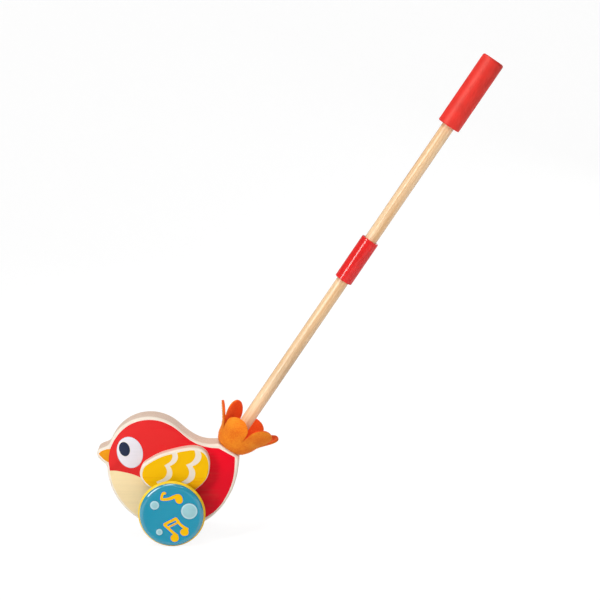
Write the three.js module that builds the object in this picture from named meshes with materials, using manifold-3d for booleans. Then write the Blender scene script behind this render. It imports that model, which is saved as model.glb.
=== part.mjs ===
// Toddler push toy: a wooden bird on two wheels, pushed along by a long handle in two lengths.
// Millimetres. The bird faces -X, its wheels turn about Y, and +Z is up from the floor.
import * as THREE from 'three';
import { mergeVertices } from 'three/addons/utils/BufferGeometryUtils.js';
import Module from 'manifold-3d';

const wasm = await Module();
wasm.setup();

// Clearances
const fitGap = 0.3;
const wheelGap = 3.4;
const overrun = 5;

// Wheels and rubber tyres
const wheelDiameter = 72.6;
const wheelThickness = 14.6;
const wheelRound = 3.4;
const tyreSection = 6;
const tyreProud = 1.9;

// Axle and what turns on it
const axleDiameter = 6;
const axleChamfer = 0.6;
const axleGrip = 9.5;
const spacerWall = 2.2;
const bushWall = 2;
const bushFlange = 1.2;
const bushFlangeRim = 2.4;

// Body boards
const coreThickness = 12;
const boardThickness = 9;
const boardRound = 2.5;

// Body outline, seen from the side, set out from the centre of the round belly
const bellyRadius = 75.8;
const bellyClearance = 12.6;
const bellySetback = 0.5;
const bellyFrontAngle = 182;
const bellyBackAngle = 290;
const headRadius = 47.8;
const headForward = 27.2;
const headRise = 8.7;
const browAngle = 156;
const napeAngle = 49;
const beakReach = 14.1;
const saddleHeading = 6;
const rumpHeading = -86;
const saddlePullShare = 0.44;
const rumpPullShare = 0.34;
const beakShares = [
  [0.126, 0.094], [0.5, 0.225], [0.816, 0.365], [1, 0.528],
  [0.908, 0.658], [0.574, 0.743], [0.238, 0.808], [0.071, 0.893],
];

// Handle and the flat seat that it leaves the body through
const handleLean = 56.25;
const seatLength = 27.4;
const seatSetback = 63.1;
const seatRise = 17.5;
const socketDepth = 40;
const dowelDiameter = 14.5;
const dowelChamfer = 0.8;
const lowerStretch = 234.1;
const upperStretch = 154.1;
const collarLength = 55;
const collarWall = 3;
const collarRound = 0.9;
const collarWeb = 2;
const gripLength = 88.5;
const gripWall = 5.8;
const gripMouthRound = 1.2;
const gripTopRound = 2.6;
const gripTopThickness = 7;

// Felt tail
const feltThickness = 1;
const tailReach = 37;
const tailRise = 39.5;

// Wings
const wingLength = 79.3;
const wingHeight = 57.3;
const wingThickness = 13;
const wingRound = 2;
const wingForward = 37.2;
const wingLift = 16.7;
const wingPinDiameter = 6;
const wingPinDepth = 7;
const wingPinSpacing = 34;
const wingPinChamfer = 0.5;
const wingShares = [
  [0, 0.46], [0.035, 0.63], [0.142, 0.747], [0.294, 0.857], [0.458, 0.927], [0.615, 0.977],
  [0.757, 1], [0.87, 0.972], [0.955, 0.88], [1, 0.69], [0.975, 0.42], [0.886, 0.246],
  [0.72, 0.08], [0.49, 0], [0.29, 0.055], [0.129, 0.192], [0.03, 0.33],
];

// Clicker
const toothCount = 12;
const clickWheelRadius = 13;
const toothDepth = 3.6;
const clickWheelThickness = 7;
const pocketGap = 1.5;
const reedThickness = 1.4;
const reedWidth = 6;
const reedReach = 24;
const reedClearance = 0.9;
const reedRootLength = 9.6;
const reedRootHeight = 7.8;
const reedPinDiameter = 4;
const reedPinDepth = 4;
const reedPinChamfer = 0.4;

// How finely round shapes are cut
const arcStep = 6;
const curveSteps = 10;
const filletSteps = 3;
const wheelSides = 40;
const tubeSides = 28;
const pinSides = 20;
const tyreSides = 8;
const toothSteps = 8;
const petalRows = 9;
const cupRows = 6;
const petalColumns = 6;

// Sizes worked out from those above
const axleHeight = wheelDiameter / 2 + tyreProud;
const bodyHalf = coreThickness / 2 + boardThickness;
const wheelInside = bodyHalf + wingThickness + wheelGap;
const belly = new THREE.Vector2(bellySetback, bellyClearance + bellyRadius);
const head = new THREE.Vector2(belly.x - headForward, belly.y + headRise);
const seat = new THREE.Vector2(belly.x + seatSetback, belly.y + seatRise);
const lean = THREE.MathUtils.degToRad(handleLean);
const collarMiddle = lowerStretch + collarLength / 2;
const gripStart = lowerStretch + collarLength + upperStretch;

// Finishes
const finish = (color, roughness, metalness = 0) =>
  new THREE.MeshStandardMaterial({ color, roughness, metalness });
const bareWood = () => finish(0xe3c29a, 0.62);
const redPaint = () => finish(0xe8322f, 0.42);
const yellowPaint = () => finish(0xfcc100, 0.42);
const bluePaint = () => finish(0x2d93b4, 0.38);
const yellowRubber = () => finish(0xffd21e, 0.55);
const orangeFelt = () => finish(0xf18a2e, 0.95);
const redFelt = () => finish(0xe9502a, 0.95);
const redPlastic = () => finish(0xe62a28, 0.22);
const whitePlastic = () => finish(0xece8df, 0.45);
const steel = () => finish(0xb9bcc0, 0.3, 0.95);

// A geometry with its shared corners merged and its collapsed triangles dropped, so that it is closed.
function welded(geometry) {
  const bare = geometry.clone();
  bare.deleteAttribute('normal');
  bare.deleteAttribute('uv');
  const merged = mergeVertices(bare);
  const corners = merged.index.array;
  const kept = [];
  for (let i = 0; i < corners.length; i += 3) {
    const [a, b, c] = corners.slice(i, i + 3);
    if (a !== b && b !== c && c !== a) kept.push(a, b, c);
  }
  merged.setIndex(kept);
  return merged;
}

// A closed geometry as a solid that can be joined and cut, and a solid as a geometry again.
function solid(geometry) {
  const closed = welded(geometry);
  const vertProperties = Float32Array.from(closed.attributes.position.array);
  const triVerts = Uint32Array.from(closed.index.array);
  return new wasm.Manifold(new wasm.Mesh({ numProp: 3, vertProperties, triVerts }));
}

function geometryOf(body) {
  const mesh = body.getMesh();
  const geometry = new THREE.BufferGeometry();
  geometry.setAttribute('position', new THREE.BufferAttribute(mesh.vertProperties, 3));
  geometry.setIndex(new THREE.BufferAttribute(mesh.triVerts, 1));
  geometry.computeVertexNormals();
  return geometry;
}

// Points along curves, for outlines
function arcPoints(centre, radius, fromAngle, toAngle) {
  const steps = Math.ceil(Math.abs(toAngle - fromAngle) / arcStep);
  return Array.from({ length: steps + 1 }, (_, i) => {
    const angle = THREE.MathUtils.degToRad(THREE.MathUtils.lerp(fromAngle, toAngle, i / steps));
    return new THREE.Vector2(Math.cos(angle), Math.sin(angle)).multiplyScalar(radius).add(centre);
  });
}

function heading(degrees) {
  const angle = THREE.MathUtils.degToRad(degrees);
  return new THREE.Vector2(Math.cos(angle), Math.sin(angle));
}

// A smooth bend that leaves one point along a heading and comes in to the next along another.
function bendPoints(from, fromHeading, to, toHeading, pullShare) {
  const pull = from.distanceTo(to) * pullShare;
  const leave = from.clone().addScaledVector(heading(fromHeading), pull);
  const arrive = to.clone().addScaledVector(heading(toHeading), -pull);
  return new THREE.CubicBezierCurve(from, leave, arrive, to).getPoints(curveSteps);
}

function outlineShape(points) {
  const apart = points.filter((point, i) => {
    const next = points[(i + 1) % points.length];
    return point.distanceTo(next) > fitGap;
  });
  return new THREE.Shape(apart);
}

// A quarter round from one profile point to the next, turning about a centre.
function filletPoints(centreR, centreT, radius, fromAngle, toAngle, steps = filletSteps) {
  return Array.from({ length: steps + 1 }, (_, i) => {
    const angle = THREE.MathUtils.degToRad(THREE.MathUtils.lerp(fromAngle, toAngle, i / steps));
    return new THREE.Vector2(centreR + radius * Math.cos(angle), centreT + radius * Math.sin(angle));
  });
}

// Turned and sawn solids. A sawn outline lies in X and Z, and its thickness runs towards +Y.
function turned(points, sides = tubeSides) {
  return welded(new THREE.LatheGeometry(points, sides));
}

function turnedAlongZ(points, sides = tubeSides) {
  return turned(points, sides).rotateX(Math.PI / 2);
}

function pegProfile(diameter, length, chamfer) {
  const radius = diameter / 2;
  return [
    new THREE.Vector2(0, 0),
    new THREE.Vector2(radius - chamfer, 0),
    new THREE.Vector2(radius, chamfer),
    new THREE.Vector2(radius, length - chamfer),
    new THREE.Vector2(radius - chamfer, length),
    new THREE.Vector2(0, length),
  ];
}

function sawn(shape, thickness) {
  const geometry = new THREE.ExtrudeGeometry(shape, { depth: thickness, bevelEnabled: false });
  return geometry.rotateX(Math.PI / 2).translate(0, thickness, 0);
}

// A board whose far face, at +Y, has its edge rounded over, and whose near face is left square.
function roundedBoard(shape, thickness, round) {
  const geometry = new THREE.ExtrudeGeometry(shape, {
    depth: thickness - round,
    bevelThickness: round,
    bevelSize: round,
    bevelOffset: -round,
    bevelSegments: filletSteps,
  });
  geometry.rotateX(Math.PI / 2).translate(0, thickness - round, 0);
  const reach = 2 * (bellyRadius + headRadius + seatSetback);
  const keep = new THREE.BoxGeometry(reach, thickness + overrun, reach);
  keep.translate(0, (thickness + overrun) / 2, belly.y);
  return solid(geometry).intersect(solid(keep));
}

// A round cutter along Y that starts at one depth and ends at another.
function boreY(diameter, x, z, fromY, toY, sides = tubeSides) {
  const cutter = new THREE.CylinderGeometry(diameter / 2, diameter / 2, toY - fromY, sides);
  return solid(cutter.translate(x, (fromY + toY) / 2, z));
}

// Everything is placed in this group, whose origin is on the floor below the axle.
const toy = new THREE.Group();

function place(name, geometry, material, parent = toy) {
  const mesh = new THREE.Mesh(geometry, material);
  mesh.name = name;
  parent.add(mesh);
  return mesh;
}

// The bird's outline: beak, round head, saddle of the back, seat of the handle, rump and belly.
function birdOutline() {
  const along = new THREE.Vector2(Math.sin(lean), -Math.cos(lean));
  const seatTop = seat.clone().addScaledVector(along, -seatLength / 2);
  const seatFoot = seat.clone().addScaledVector(along, seatLength / 2);
  const chin = heading(bellyFrontAngle).multiplyScalar(bellyRadius).add(belly);
  const brow = heading(browAngle).multiplyScalar(headRadius).add(head);
  const nape = heading(napeAngle).multiplyScalar(headRadius).add(head);
  const bellyBack = heading(bellyBackAngle).multiplyScalar(bellyRadius).add(belly);
  const beak = beakShares.map(([outShare, upShare]) => {
    const root = chin.clone().lerp(brow, upShare);
    return root.setX(root.x - outShare * beakReach);
  });
  return [
    ...new THREE.SplineCurve([chin, ...beak, brow]).getPoints(2 * curveSteps),
    ...arcPoints(head, headRadius, browAngle, napeAngle),
    ...bendPoints(nape, napeAngle - 90, seatTop, saddleHeading, saddlePullShare),
    ...bendPoints(seatFoot, rumpHeading, bellyBack, bellyBackAngle - 90, rumpPullShare),
    ...arcPoints(belly, bellyRadius, bellyBackAngle, bellyFrontAngle),
  ];
}

// The pocket in the core board for the click wheel and its reed, and the holes that cross the boards.
const reedHeight = clickWheelRadius + reedClearance + reedThickness / 2;
const pocketHeight = reedRootHeight + 2 * fitGap;
const reedPinX = -reedReach;
const reedPinZ = axleHeight + reedHeight;

function pocketCutter() {
  const round = boreY(2 * (clickWheelRadius + pocketGap), 0, axleHeight, -bodyHalf, bodyHalf, wheelSides);
  const slotLength = reedReach + reedRootLength / 2 + clickWheelRadius / 2 + fitGap;
  const slot = new THREE.BoxGeometry(slotLength, 2 * bodyHalf, pocketHeight);
  slot.translate(clickWheelRadius / 2 - slotLength / 2, 0, reedPinZ);
  return round.add(solid(slot));
}

function socketCutter() {
  const radius = dowelDiameter / 2 + fitGap;
  const cutter = new THREE.CylinderGeometry(radius, radius, socketDepth + overrun, tubeSides);
  cutter.translate(0, (overrun - socketDepth) / 2, 0);
  cutter.rotateX(Math.PI / 2).rotateY(Math.PI / 2 - lean).translate(seat.x, 0, seat.y);
  return solid(cutter);
}

// Body: a core board between two face boards, glued face to face.
const birdShape = outlineShape(birdOutline());
const socket = socketCutter();
const bushBore = axleDiameter + 2 * (bushWall + 2 * fitGap);
const wingPinX = belly.x - wingForward + wingLength / 2;
const wingPinZ = axleHeight + wingLift + wingHeight / 2;
const wingPinBore = wingPinDiameter + 2 * fitGap;
const reedPinBore = reedPinDiameter + 2 * fitGap;
const wingPinXs = [wingPinX - wingPinSpacing / 2, wingPinX + wingPinSpacing / 2];

function coreBoard() {
  const board = solid(sawn(birdShape, coreThickness).translate(0, -coreThickness / 2, 0));
  return board.subtract(pocketCutter()).subtract(socket);
}

// A face board on the +Y side. The board of the other side is cut the same way and then mirrored.
function faceBoard() {
  const inside = coreThickness / 2;
  const blank = roundedBoard(birdShape, boardThickness, boardRound);
  let board = solid(geometryOf(blank).translate(0, inside, 0));
  board = board.subtract(boreY(bushBore, 0, axleHeight, 0, bodyHalf + overrun));
  board = board.subtract(boreY(reedPinBore, reedPinX, reedPinZ, 0, inside + reedPinDepth));
  for (const x of wingPinXs) {
    const floor = bodyHalf - wingPinDepth - fitGap;
    board = board.subtract(boreY(wingPinBore, x, wingPinZ, floor, bodyHalf + overrun));
  }
  return geometryOf(board.subtract(socket));
}

function mirrored(geometry) {
  const flipped = geometry.clone().scale(1, -1, 1);
  const corners = flipped.index.array;
  for (let i = 0; i < corners.length; i += 3) {
    [corners[i], corners[i + 1]] = [corners[i + 1], corners[i]];
  }
  flipped.computeVertexNormals();
  return flipped;
}

const rightFace = faceBoard();
place('core_board', geometryOf(coreBoard()), bareWood());
place('right_face_board', rightFace, redPaint());
place('left_face_board', mirrored(rightFace), redPaint());

// Wings: thick boards with a rounded front edge, glued to the face boards over two short dowels each.
function wingGeometry() {
  const corners = wingShares.map(([lengthShare, heightShare]) => new THREE.Vector3(
    belly.x - wingForward + lengthShare * wingLength,
    axleHeight + wingLift + heightShare * wingHeight,
    0,
  ));
  const curve = new THREE.CatmullRomCurve3(corners, true);
  const points = curve.getPoints(3 * wingShares.length).map(({ x, y }) => new THREE.Vector2(x, y));
  let wing = roundedBoard(outlineShape(points), wingThickness, wingRound);
  for (const x of wingPinXs) {
    wing = wing.subtract(boreY(wingPinBore, x, wingPinZ, -overrun, wingPinDepth + fitGap));
  }
  return geometryOf(wing).translate(0, bodyHalf, 0);
}

const rightWing = wingGeometry();
place('right_wing', rightWing, yellowPaint());
place('left_wing', mirrored(rightWing), yellowPaint());

for (const [side, sign] of [['left', -1], ['right', 1]]) {
  wingPinXs.forEach((x, i) => {
    const profile = pegProfile(wingPinDiameter, 2 * wingPinDepth, wingPinChamfer);
    const name = `${side}_wing_${i === 0 ? 'front' : 'rear'}_dowel`;
    const pin = place(name, turned(profile, pinSides), bareWood());
    pin.position.set(x, sign * bodyHalf - wingPinDepth, wingPinZ);
  });
}

// Wheels: discs with rounded rims, a groove for the tyre and a blind hole that grips the axle.
const wheelRadius = wheelDiameter / 2;
const tyreMiddleRadius = wheelRadius + tyreProud - tyreSection / 2;

function wheelProfile() {
  const grooveRadius = tyreSection / 2 + fitGap;
  const grooveAngle = THREE.MathUtils.radToDeg(Math.acos((wheelRadius - tyreMiddleRadius) / grooveRadius));
  const middle = wheelThickness / 2;
  const edge = wheelRadius - wheelRound;
  const bore = axleDiameter / 2 + fitGap;
  return [
    new THREE.Vector2(0, axleGrip),
    new THREE.Vector2(bore, axleGrip),
    new THREE.Vector2(bore, 0),
    ...filletPoints(edge, wheelRound, wheelRound, -90, 0),
    ...filletPoints(tyreMiddleRadius, middle, grooveRadius, -grooveAngle, grooveAngle - 360, 2 * filletSteps),
    ...filletPoints(edge, wheelThickness - wheelRound, wheelRound, 0, 90),
    new THREE.Vector2(0, wheelThickness),
  ];
}

// What turns with the wheels, from the middle of the axle outwards on each side.
const wheelSet = new THREE.Group();
wheelSet.position.z = axleHeight;
toy.add(wheelSet);

const axleLength = 2 * (wheelInside + axleGrip - fitGap);
const axleProfile = pegProfile(axleDiameter, axleLength, axleChamfer);
const axle = place('axle', turned(axleProfile, pinSides), steel(), wheelSet);
axle.position.y = -axleLength / 2;

function sleeveProfile(innerRadius, outerRadius, length) {
  return [
    new THREE.Vector2(innerRadius, 0),
    new THREE.Vector2(outerRadius, 0),
    new THREE.Vector2(outerRadius, length),
    new THREE.Vector2(innerRadius, length),
    new THREE.Vector2(innerRadius, 0),
  ];
}

function bushProfile() {
  const inner = axleDiameter / 2 + fitGap;
  const outer = inner + bushWall;
  const rim = outer + bushFlangeRim;
  return [
    new THREE.Vector2(inner, 0),
    new THREE.Vector2(outer, 0),
    new THREE.Vector2(outer, boardThickness + fitGap),
    new THREE.Vector2(rim, boardThickness + fitGap),
    new THREE.Vector2(rim, boardThickness + fitGap + bushFlange),
    new THREE.Vector2(inner, boardThickness + fitGap + bushFlange),
    new THREE.Vector2(inner, 0),
  ];
}

for (const [side, turn] of [['left', Math.PI], ['right', 0]]) {
  const half = new THREE.Group();
  half.rotation.x = turn;
  wheelSet.add(half);

  const wheel = place(`${side}_wheel`, turned(wheelProfile(), wheelSides), bluePaint(), half);
  wheel.position.y = wheelInside;

  const ring = new THREE.TorusGeometry(tyreMiddleRadius, tyreSection / 2, tyreSides, wheelSides);
  const tyre = place(`${side}_tyre`, welded(ring.rotateX(Math.PI / 2)), yellowRubber(), half);
  tyre.position.y = wheelInside + wheelThickness / 2;

  const bush = place(`${side}_bush`, turned(bushProfile()), whitePlastic(), half);
  bush.position.y = coreThickness / 2;

  const spacerInner = axleDiameter / 2 + fitGap;
  const spacerStart = bodyHalf + fitGap + bushFlange + fitGap;
  const spacerLength = wheelInside - fitGap - spacerStart;
  const sleeve = sleeveProfile(spacerInner, spacerInner + spacerWall, spacerLength);
  const spacer = place(`${side}_spacer`, turned(sleeve), whitePlastic(), half);
  spacer.position.y = spacerStart;
}

// Clicker: a wheel of rounded teeth on the axle flicks the nib of a springy reed.
function clickWheelGeometry() {
  const steps = toothCount * toothSteps;
  const middle = clickWheelRadius - toothDepth / 2;
  const points = Array.from({ length: steps }, (_, i) => {
    const angle = (2 * Math.PI * i) / steps;
    const radius = middle - (toothDepth / 2) * Math.cos(toothCount * (angle - Math.PI / 2));
    return new THREE.Vector2(Math.cos(angle), Math.sin(angle)).multiplyScalar(radius);
  });
  const shape = new THREE.Shape(points);
  const bore = new THREE.Path();
  bore.absarc(0, 0, axleDiameter / 2 + fitGap, 0, 2 * Math.PI, true);
  shape.holes.push(bore);
  return welded(sawn(shape, clickWheelThickness).translate(0, -clickWheelThickness / 2, 0));
}

place('click_wheel', clickWheelGeometry(), whitePlastic(), wheelSet);

// The reed in X and Z from its pin: a root block, a thin strip and a nib that dips between two teeth.
function reedGeometry() {
  const half = reedThickness / 2;
  const rootEnd = reedRootLength / 2;
  const rootTop = reedRootHeight / 2;
  const nibFoot = -(reedHeight - clickWheelRadius + toothDepth - reedClearance);
  const shape = new THREE.Shape();
  shape.moveTo(-rootEnd, -rootTop);
  shape.lineTo(rootEnd, -rootTop);
  shape.lineTo(rootEnd, -half);
  shape.lineTo(reedReach - half, -half);
  shape.lineTo(reedReach - half, nibFoot + half);
  shape.absarc(reedReach, nibFoot + half, half, Math.PI, 2 * Math.PI, false);
  shape.lineTo(reedReach + half, half);
  shape.lineTo(rootEnd, half);
  shape.lineTo(rootEnd, rootTop);
  shape.lineTo(-rootEnd, rootTop);
  const eye = new THREE.Path();
  eye.absarc(0, 0, reedPinBore / 2, 0, 2 * Math.PI, true);
  shape.holes.push(eye);
  return welded(sawn(shape, reedWidth).translate(0, -reedWidth / 2, 0));
}

const reed = place('click_reed', reedGeometry(), whitePlastic());
reed.position.set(reedPinX, 0, reedPinZ);

const reedPinLength = coreThickness + 2 * (reedPinDepth - fitGap);
const reedPinProfile = pegProfile(reedPinDiameter, reedPinLength, reedPinChamfer);
const reedPin = place('reed_pin', turned(reedPinProfile, pinSides), steel());
reedPin.position.set(reedPinX, -reedPinLength / 2, reedPinZ);

// Handle: everything from the seat upwards, modelled along +Z and then leaned back.
const handle = new THREE.Group();
handle.position.set(seat.x, 0, seat.y);
handle.rotation.y = Math.PI / 2 - lean;
toy.add(handle);

const lowerLength = socketDepth - fitGap + collarMiddle - collarWeb / 2 - fitGap;
const lowerProfile = pegProfile(dowelDiameter, lowerLength, dowelChamfer);
const lowerDowel = place('lower_dowel', turnedAlongZ(lowerProfile), bareWood(), handle);
lowerDowel.position.z = fitGap - socketDepth;

// The collar: a sleeve with a web across its middle, on which the two dowels butt from either side.
function collarProfile() {
  const bore = dowelDiameter / 2 + fitGap;
  const outer = bore + collarWall;
  const webFoot = (collarLength - collarWeb) / 2;
  return [
    new THREE.Vector2(0, webFoot),
    new THREE.Vector2(bore, webFoot),
    new THREE.Vector2(bore, 0),
    ...filletPoints(outer - collarRound, collarRound, collarRound, -90, 0),
    ...filletPoints(outer - collarRound, collarLength - collarRound, collarRound, 0, 90),
    new THREE.Vector2(bore, collarLength),
    new THREE.Vector2(bore, webFoot + collarWeb),
    new THREE.Vector2(0, webFoot + collarWeb),
  ];
}

const collar = place('collar', turnedAlongZ(collarProfile()), redPlastic(), handle);
collar.position.z = lowerStretch;

const upperStart = collarMiddle + collarWeb / 2 + fitGap;
const upperLength = gripStart + gripLength - gripTopThickness - fitGap - upperStart;
const upperProfile = pegProfile(dowelDiameter, upperLength, dowelChamfer);
const upperDowel = place('upper_dowel', turnedAlongZ(upperProfile), bareWood(), handle);
upperDowel.position.z = upperStart;

// The grip: a thick sleeve, closed and rounded at the top.
function gripProfile() {
  const bore = dowelDiameter / 2 + fitGap;
  const outer = bore + gripWall;
  const depth = gripLength - gripTopThickness;
  return [
    new THREE.Vector2(0, depth),
    new THREE.Vector2(bore, depth),
    new THREE.Vector2(bore, 0),
    ...filletPoints(outer - gripMouthRound, gripMouthRound, gripMouthRound, -90, 0),
    ...filletPoints(outer - gripTopRound, gripLength - gripTopRound, gripTopRound, 0, 90),
    new THREE.Vector2(0, gripLength),
  ];
}

const grip = place('grip', turnedAlongZ(gripProfile()), redPlastic(), handle);
grip.position.z = gripStart;

// Felt tail: two cups of felt, one in the other, each cut into petals that flare out round the dowel.
// The side view of a petal, from the hole for the dowel to its tip, as shares of its reach and rise.
const petalLineShares = [[0, 0], [0.24, 0.01], [0.4, 0.19], [0.5, 0.47], [0.68, 0.7], [1, 1]];
const petalShoulderShare = 0.7;
const petalTaperShare = 0.093;
const petalFlatShare = 0.24;
const lowerBulgeShare = 0.17;
const slopeShare = 0.002;
// The bearing in degrees at which each petal starts, how much further it leans out and stands up than
// that line, its twist to the side in degrees, and how broad it opens.
const petals = [
  { from: -23, outShare: 0.01, upShare: 0.045, twist: -4, breadthShare: 0.94 },
  { from: 34, outShare: -0.32, upShare: 0.02, twist: 4, breadthShare: 1.12 },
  { from: 104, outShare: 0.145, upShare: 0.165, twist: -7, breadthShare: 1.09 },
  { from: 158, outShare: 0.16, upShare: -0.035, twist: 2, breadthShare: 0.97 },
  { from: 213, outShare: -0.035, upShare: -0.045, twist: 2, breadthShare: 0.95 },
  { from: 275, outShare: -0.2, upShare: 0.195, twist: 4, breadthShare: 1.01 },
];

const feltHole = dowelDiameter / 2 + 2 * fitGap;
const petalLine = new THREE.CatmullRomCurve3(petalLineShares.map(([outShare, upShare]) => (
  new THREE.Vector3(feltHole + outShare * (tailReach - feltHole), upShare * tailRise, 0))));
const joinedShare = (cupRows / petalRows) * petalShoulderShare;
const freeShare = (lengthShare) => Math.max(0, lengthShare - joinedShare) / (1 - joinedShare);

// The side view of a petal in its own pose, at a share of its length and an angle about the dowel.
function petalSide(lengthShare, angle, petal) {
  const point = petalLine.getPointAt(lengthShare);
  const bulge = (lowerBulgeShare * Math.sin(Math.PI * lengthShare ** 1.5) * (1 - Math.cos(angle))) / 2;
  point.x += (petal.outShare * freeShare(lengthShare) ** 2 + bulge) * tailReach;
  point.y += petal.upShare * freeShare(lengthShare) ** 2 * tailRise;
  return point;
}

// A point of the felt at a share of a petal's length, offset square to its side view. The freer the
// petal, the flatter it lies to both sides of its middle.
function feltPoint(lengthShare, middle, aside, petal, offset) {
  const angle = middle + aside;
  const free = freeShare(lengthShare);
  const point = petalSide(lengthShare, angle, petal);
  const share = Math.max(lengthShare, slopeShare);
  const before = petalSide(share - slopeShare, angle, petal);
  const slope = petalSide(share, angle, petal).sub(before).normalize();
  const out = (point.x - offset * slope.y) / (1 - petalFlatShare * free * (1 - Math.cos(aside)));
  const bearing = angle + THREE.MathUtils.degToRad(petal.twist) * free ** 2;
  return new THREE.Vector3(-out * Math.cos(bearing), -out * Math.sin(bearing), point.y + offset * slope.x);
}

// One felt as a closed sheet: outer and inner faces on the same rows, and a rim wherever the felt ends.
function feltGeometry(outerOffset) {
  const points = [];
  const corners = [];

  function sheet(petal, index, offset) {
    const turn = index + 1 < petals.length ? 0 : 360;
    const to = petals[(index + 1) % petals.length].from + turn;
    const middle = THREE.MathUtils.degToRad((petal.from + to) / 2);
    const half = THREE.MathUtils.degToRad((to - petal.from) / 2);
    return Array.from({ length: petalRows + 1 }, (_, row) => {
      const rowShare = row / petalRows;
      const free = Math.max(0, row - cupRows) / (petalRows - cupRows);
      const taper = 1 - petalTaperShare * (free + Math.sqrt(free));
      const spread = half * taper * (1 + (petal.breadthShare - 1) * Math.sqrt(free));
      return Array.from({ length: petalColumns + 1 }, (__, column) => {
        const across = (2 * column) / petalColumns - 1;
        const round = Math.sqrt(1 - across ** 2) * rowShare;
        const lengthShare = rowShare * (petalShoulderShare + (1 - petalShoulderShare) * round);
        points.push(feltPoint(lengthShare, middle, across * spread, petal, offset));
        return points.length - 1;
      });
    });
  }
  const quad = (a, b, c, d) => corners.push(a, b, c, a, c, d);

  petals.forEach((petal, index) => {
    const outside = sheet(petal, index, outerOffset);
    const inside = sheet(petal, index, outerOffset + feltThickness);
    for (let row = 0; row < petalRows; row += 1) {
      for (let column = 0; column < petalColumns; column += 1) {
        const [r, c] = [row + 1, column + 1];
        quad(outside[row][column], outside[row][c], outside[r][c], outside[r][column]);
        quad(inside[row][column], inside[r][column], inside[r][c], inside[row][c]);
      }
      if (row >= cupRows) {
        const last = petalColumns;
        quad(outside[row][0], outside[row + 1][0], inside[row + 1][0], inside[row][0]);
        quad(outside[row][last], inside[row][last], inside[row + 1][last], outside[row + 1][last]);
      }
    }
    for (let column = 0; column < petalColumns; column += 1) {
      const [c, tip] = [column + 1, petalRows];
      quad(outside[0][column], inside[0][column], inside[0][c], outside[0][c]);
      quad(outside[tip][column], outside[tip][c], inside[tip][c], inside[tip][column]);
    }
  });
  const geometry = new THREE.BufferGeometry().setFromPoints(points);
  geometry.setIndex(corners);
  return welded(geometry);
}

const outerFelt = place('tail_felt_outer', feltGeometry(0), orangeFelt(), handle);
outerFelt.position.z = fitGap;
const innerFelt = place('tail_felt_inner', feltGeometry(feltThickness + fitGap), redFelt(), handle);
innerFelt.position.z = fitGap;

// The origin lies on the floor below the middle of the whole toy.
toy.updateMatrixWorld(true);
const extent = new THREE.Box3().setFromObject(toy, true);
toy.position.x = -(extent.min.x + extent.max.x) / 2;

export default toy;
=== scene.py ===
import math
from collections import namedtuple

import bmesh
import bpy
import numpy as np
from mathutils import Matrix, Vector


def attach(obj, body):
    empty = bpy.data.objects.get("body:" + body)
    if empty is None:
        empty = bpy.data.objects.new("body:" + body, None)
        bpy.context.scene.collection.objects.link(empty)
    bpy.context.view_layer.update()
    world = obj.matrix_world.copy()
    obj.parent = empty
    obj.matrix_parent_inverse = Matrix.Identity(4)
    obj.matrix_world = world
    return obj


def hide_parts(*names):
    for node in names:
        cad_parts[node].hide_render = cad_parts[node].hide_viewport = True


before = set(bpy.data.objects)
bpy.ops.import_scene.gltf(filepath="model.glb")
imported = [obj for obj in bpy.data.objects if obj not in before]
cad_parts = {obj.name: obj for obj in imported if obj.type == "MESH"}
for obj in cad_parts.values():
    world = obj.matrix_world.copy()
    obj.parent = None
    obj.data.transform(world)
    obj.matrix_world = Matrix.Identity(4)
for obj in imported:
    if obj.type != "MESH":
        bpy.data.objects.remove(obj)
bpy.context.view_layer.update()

# Camera: a long lens a little above the toy, half a degree off square to the bird's left side.
# Its place is in the toy's frame, so the wheels, tail and grip fall where the photograph has them.
MM = 0.001


def linked(name, data):
    """A new object in the scene, from a mesh, a lamp or a camera."""
    made = bpy.data.objects.new(name, data)
    bpy.context.scene.collection.objects.link(made)
    return made


photo_width = 600
focal_pixels = 1907.4
look_down, look_aside = 10.5, 0.5
camera = linked("camera", bpy.data.cameras.new("camera"))
camera.data.sensor_width = 36
camera.data.lens = camera.data.sensor_width * focal_pixels / photo_width
camera.data.clip_start = 0.05
camera.data.clip_end = 50
camera.location = Vector((22.32, -2119.1, 670.3)) * MM
camera.rotation_euler = (math.radians(90 - look_down), 0, math.radians(look_aside))
bpy.context.scene.camera = camera


# Body boards: three boards of pale plywood, glued face to face and sawn to the bird's outline.
# The outer edges of the two face boards are rounded over, and the whole edge is sanded bare.
# Outlines are in millimetres: X runs from the axle towards the tail, and Z is above the floor.
axle_x = -141.16
axle_height = 38.2
core_half = 6
body_half = 15
board_round = 2.5
belly = np.array([0.5, 88.4])
belly_radius = 75.8
head = np.array([-26.7, 97.1])
head_radius = 47.8
seat = np.array([63.6, 105.9])
seat_length = 27.4
lean = math.radians(56.25)


def curve_through(points, closed=False, steps=12):
    """A smooth line through points, finer than the points by the given number of steps."""
    points = np.array(points, float)
    count = len(points)
    fine = []
    for i in range(count if closed else count - 1):
        if closed:
            p0, p1, p2, p3 = (points[(i + k) % count] for k in (-1, 0, 1, 2))
        else:
            p0, p1, p2, p3 = (points[min(max(i + k, 0), count - 1)] for k in (-1, 0, 1, 2))
        d1 = math.dist(p1, p2) ** 0.5
        d0 = math.dist(p0, p1) ** 0.5 or d1
        d2 = math.dist(p2, p3) ** 0.5 or d1
        leave = ((p1 - p0) / d0 - (p2 - p0) / (d0 + d1) + (p2 - p1) / d1) * d1
        arrive = ((p2 - p1) / d1 - (p3 - p1) / (d1 + d2) + (p3 - p2) / d2) * d1
        t = np.arange(steps)[:, None] / steps
        fine.append((2 * t**3 - 3 * t**2 + 1) * p1 + (t**3 - 2 * t**2 + t) * leave
                    + (3 * t**2 - 2 * t**3) * p2 + (t**3 - t**2) * arrive)
    if not closed:
        fine.append(points[-1:])
    return np.vstack(fine)


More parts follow.
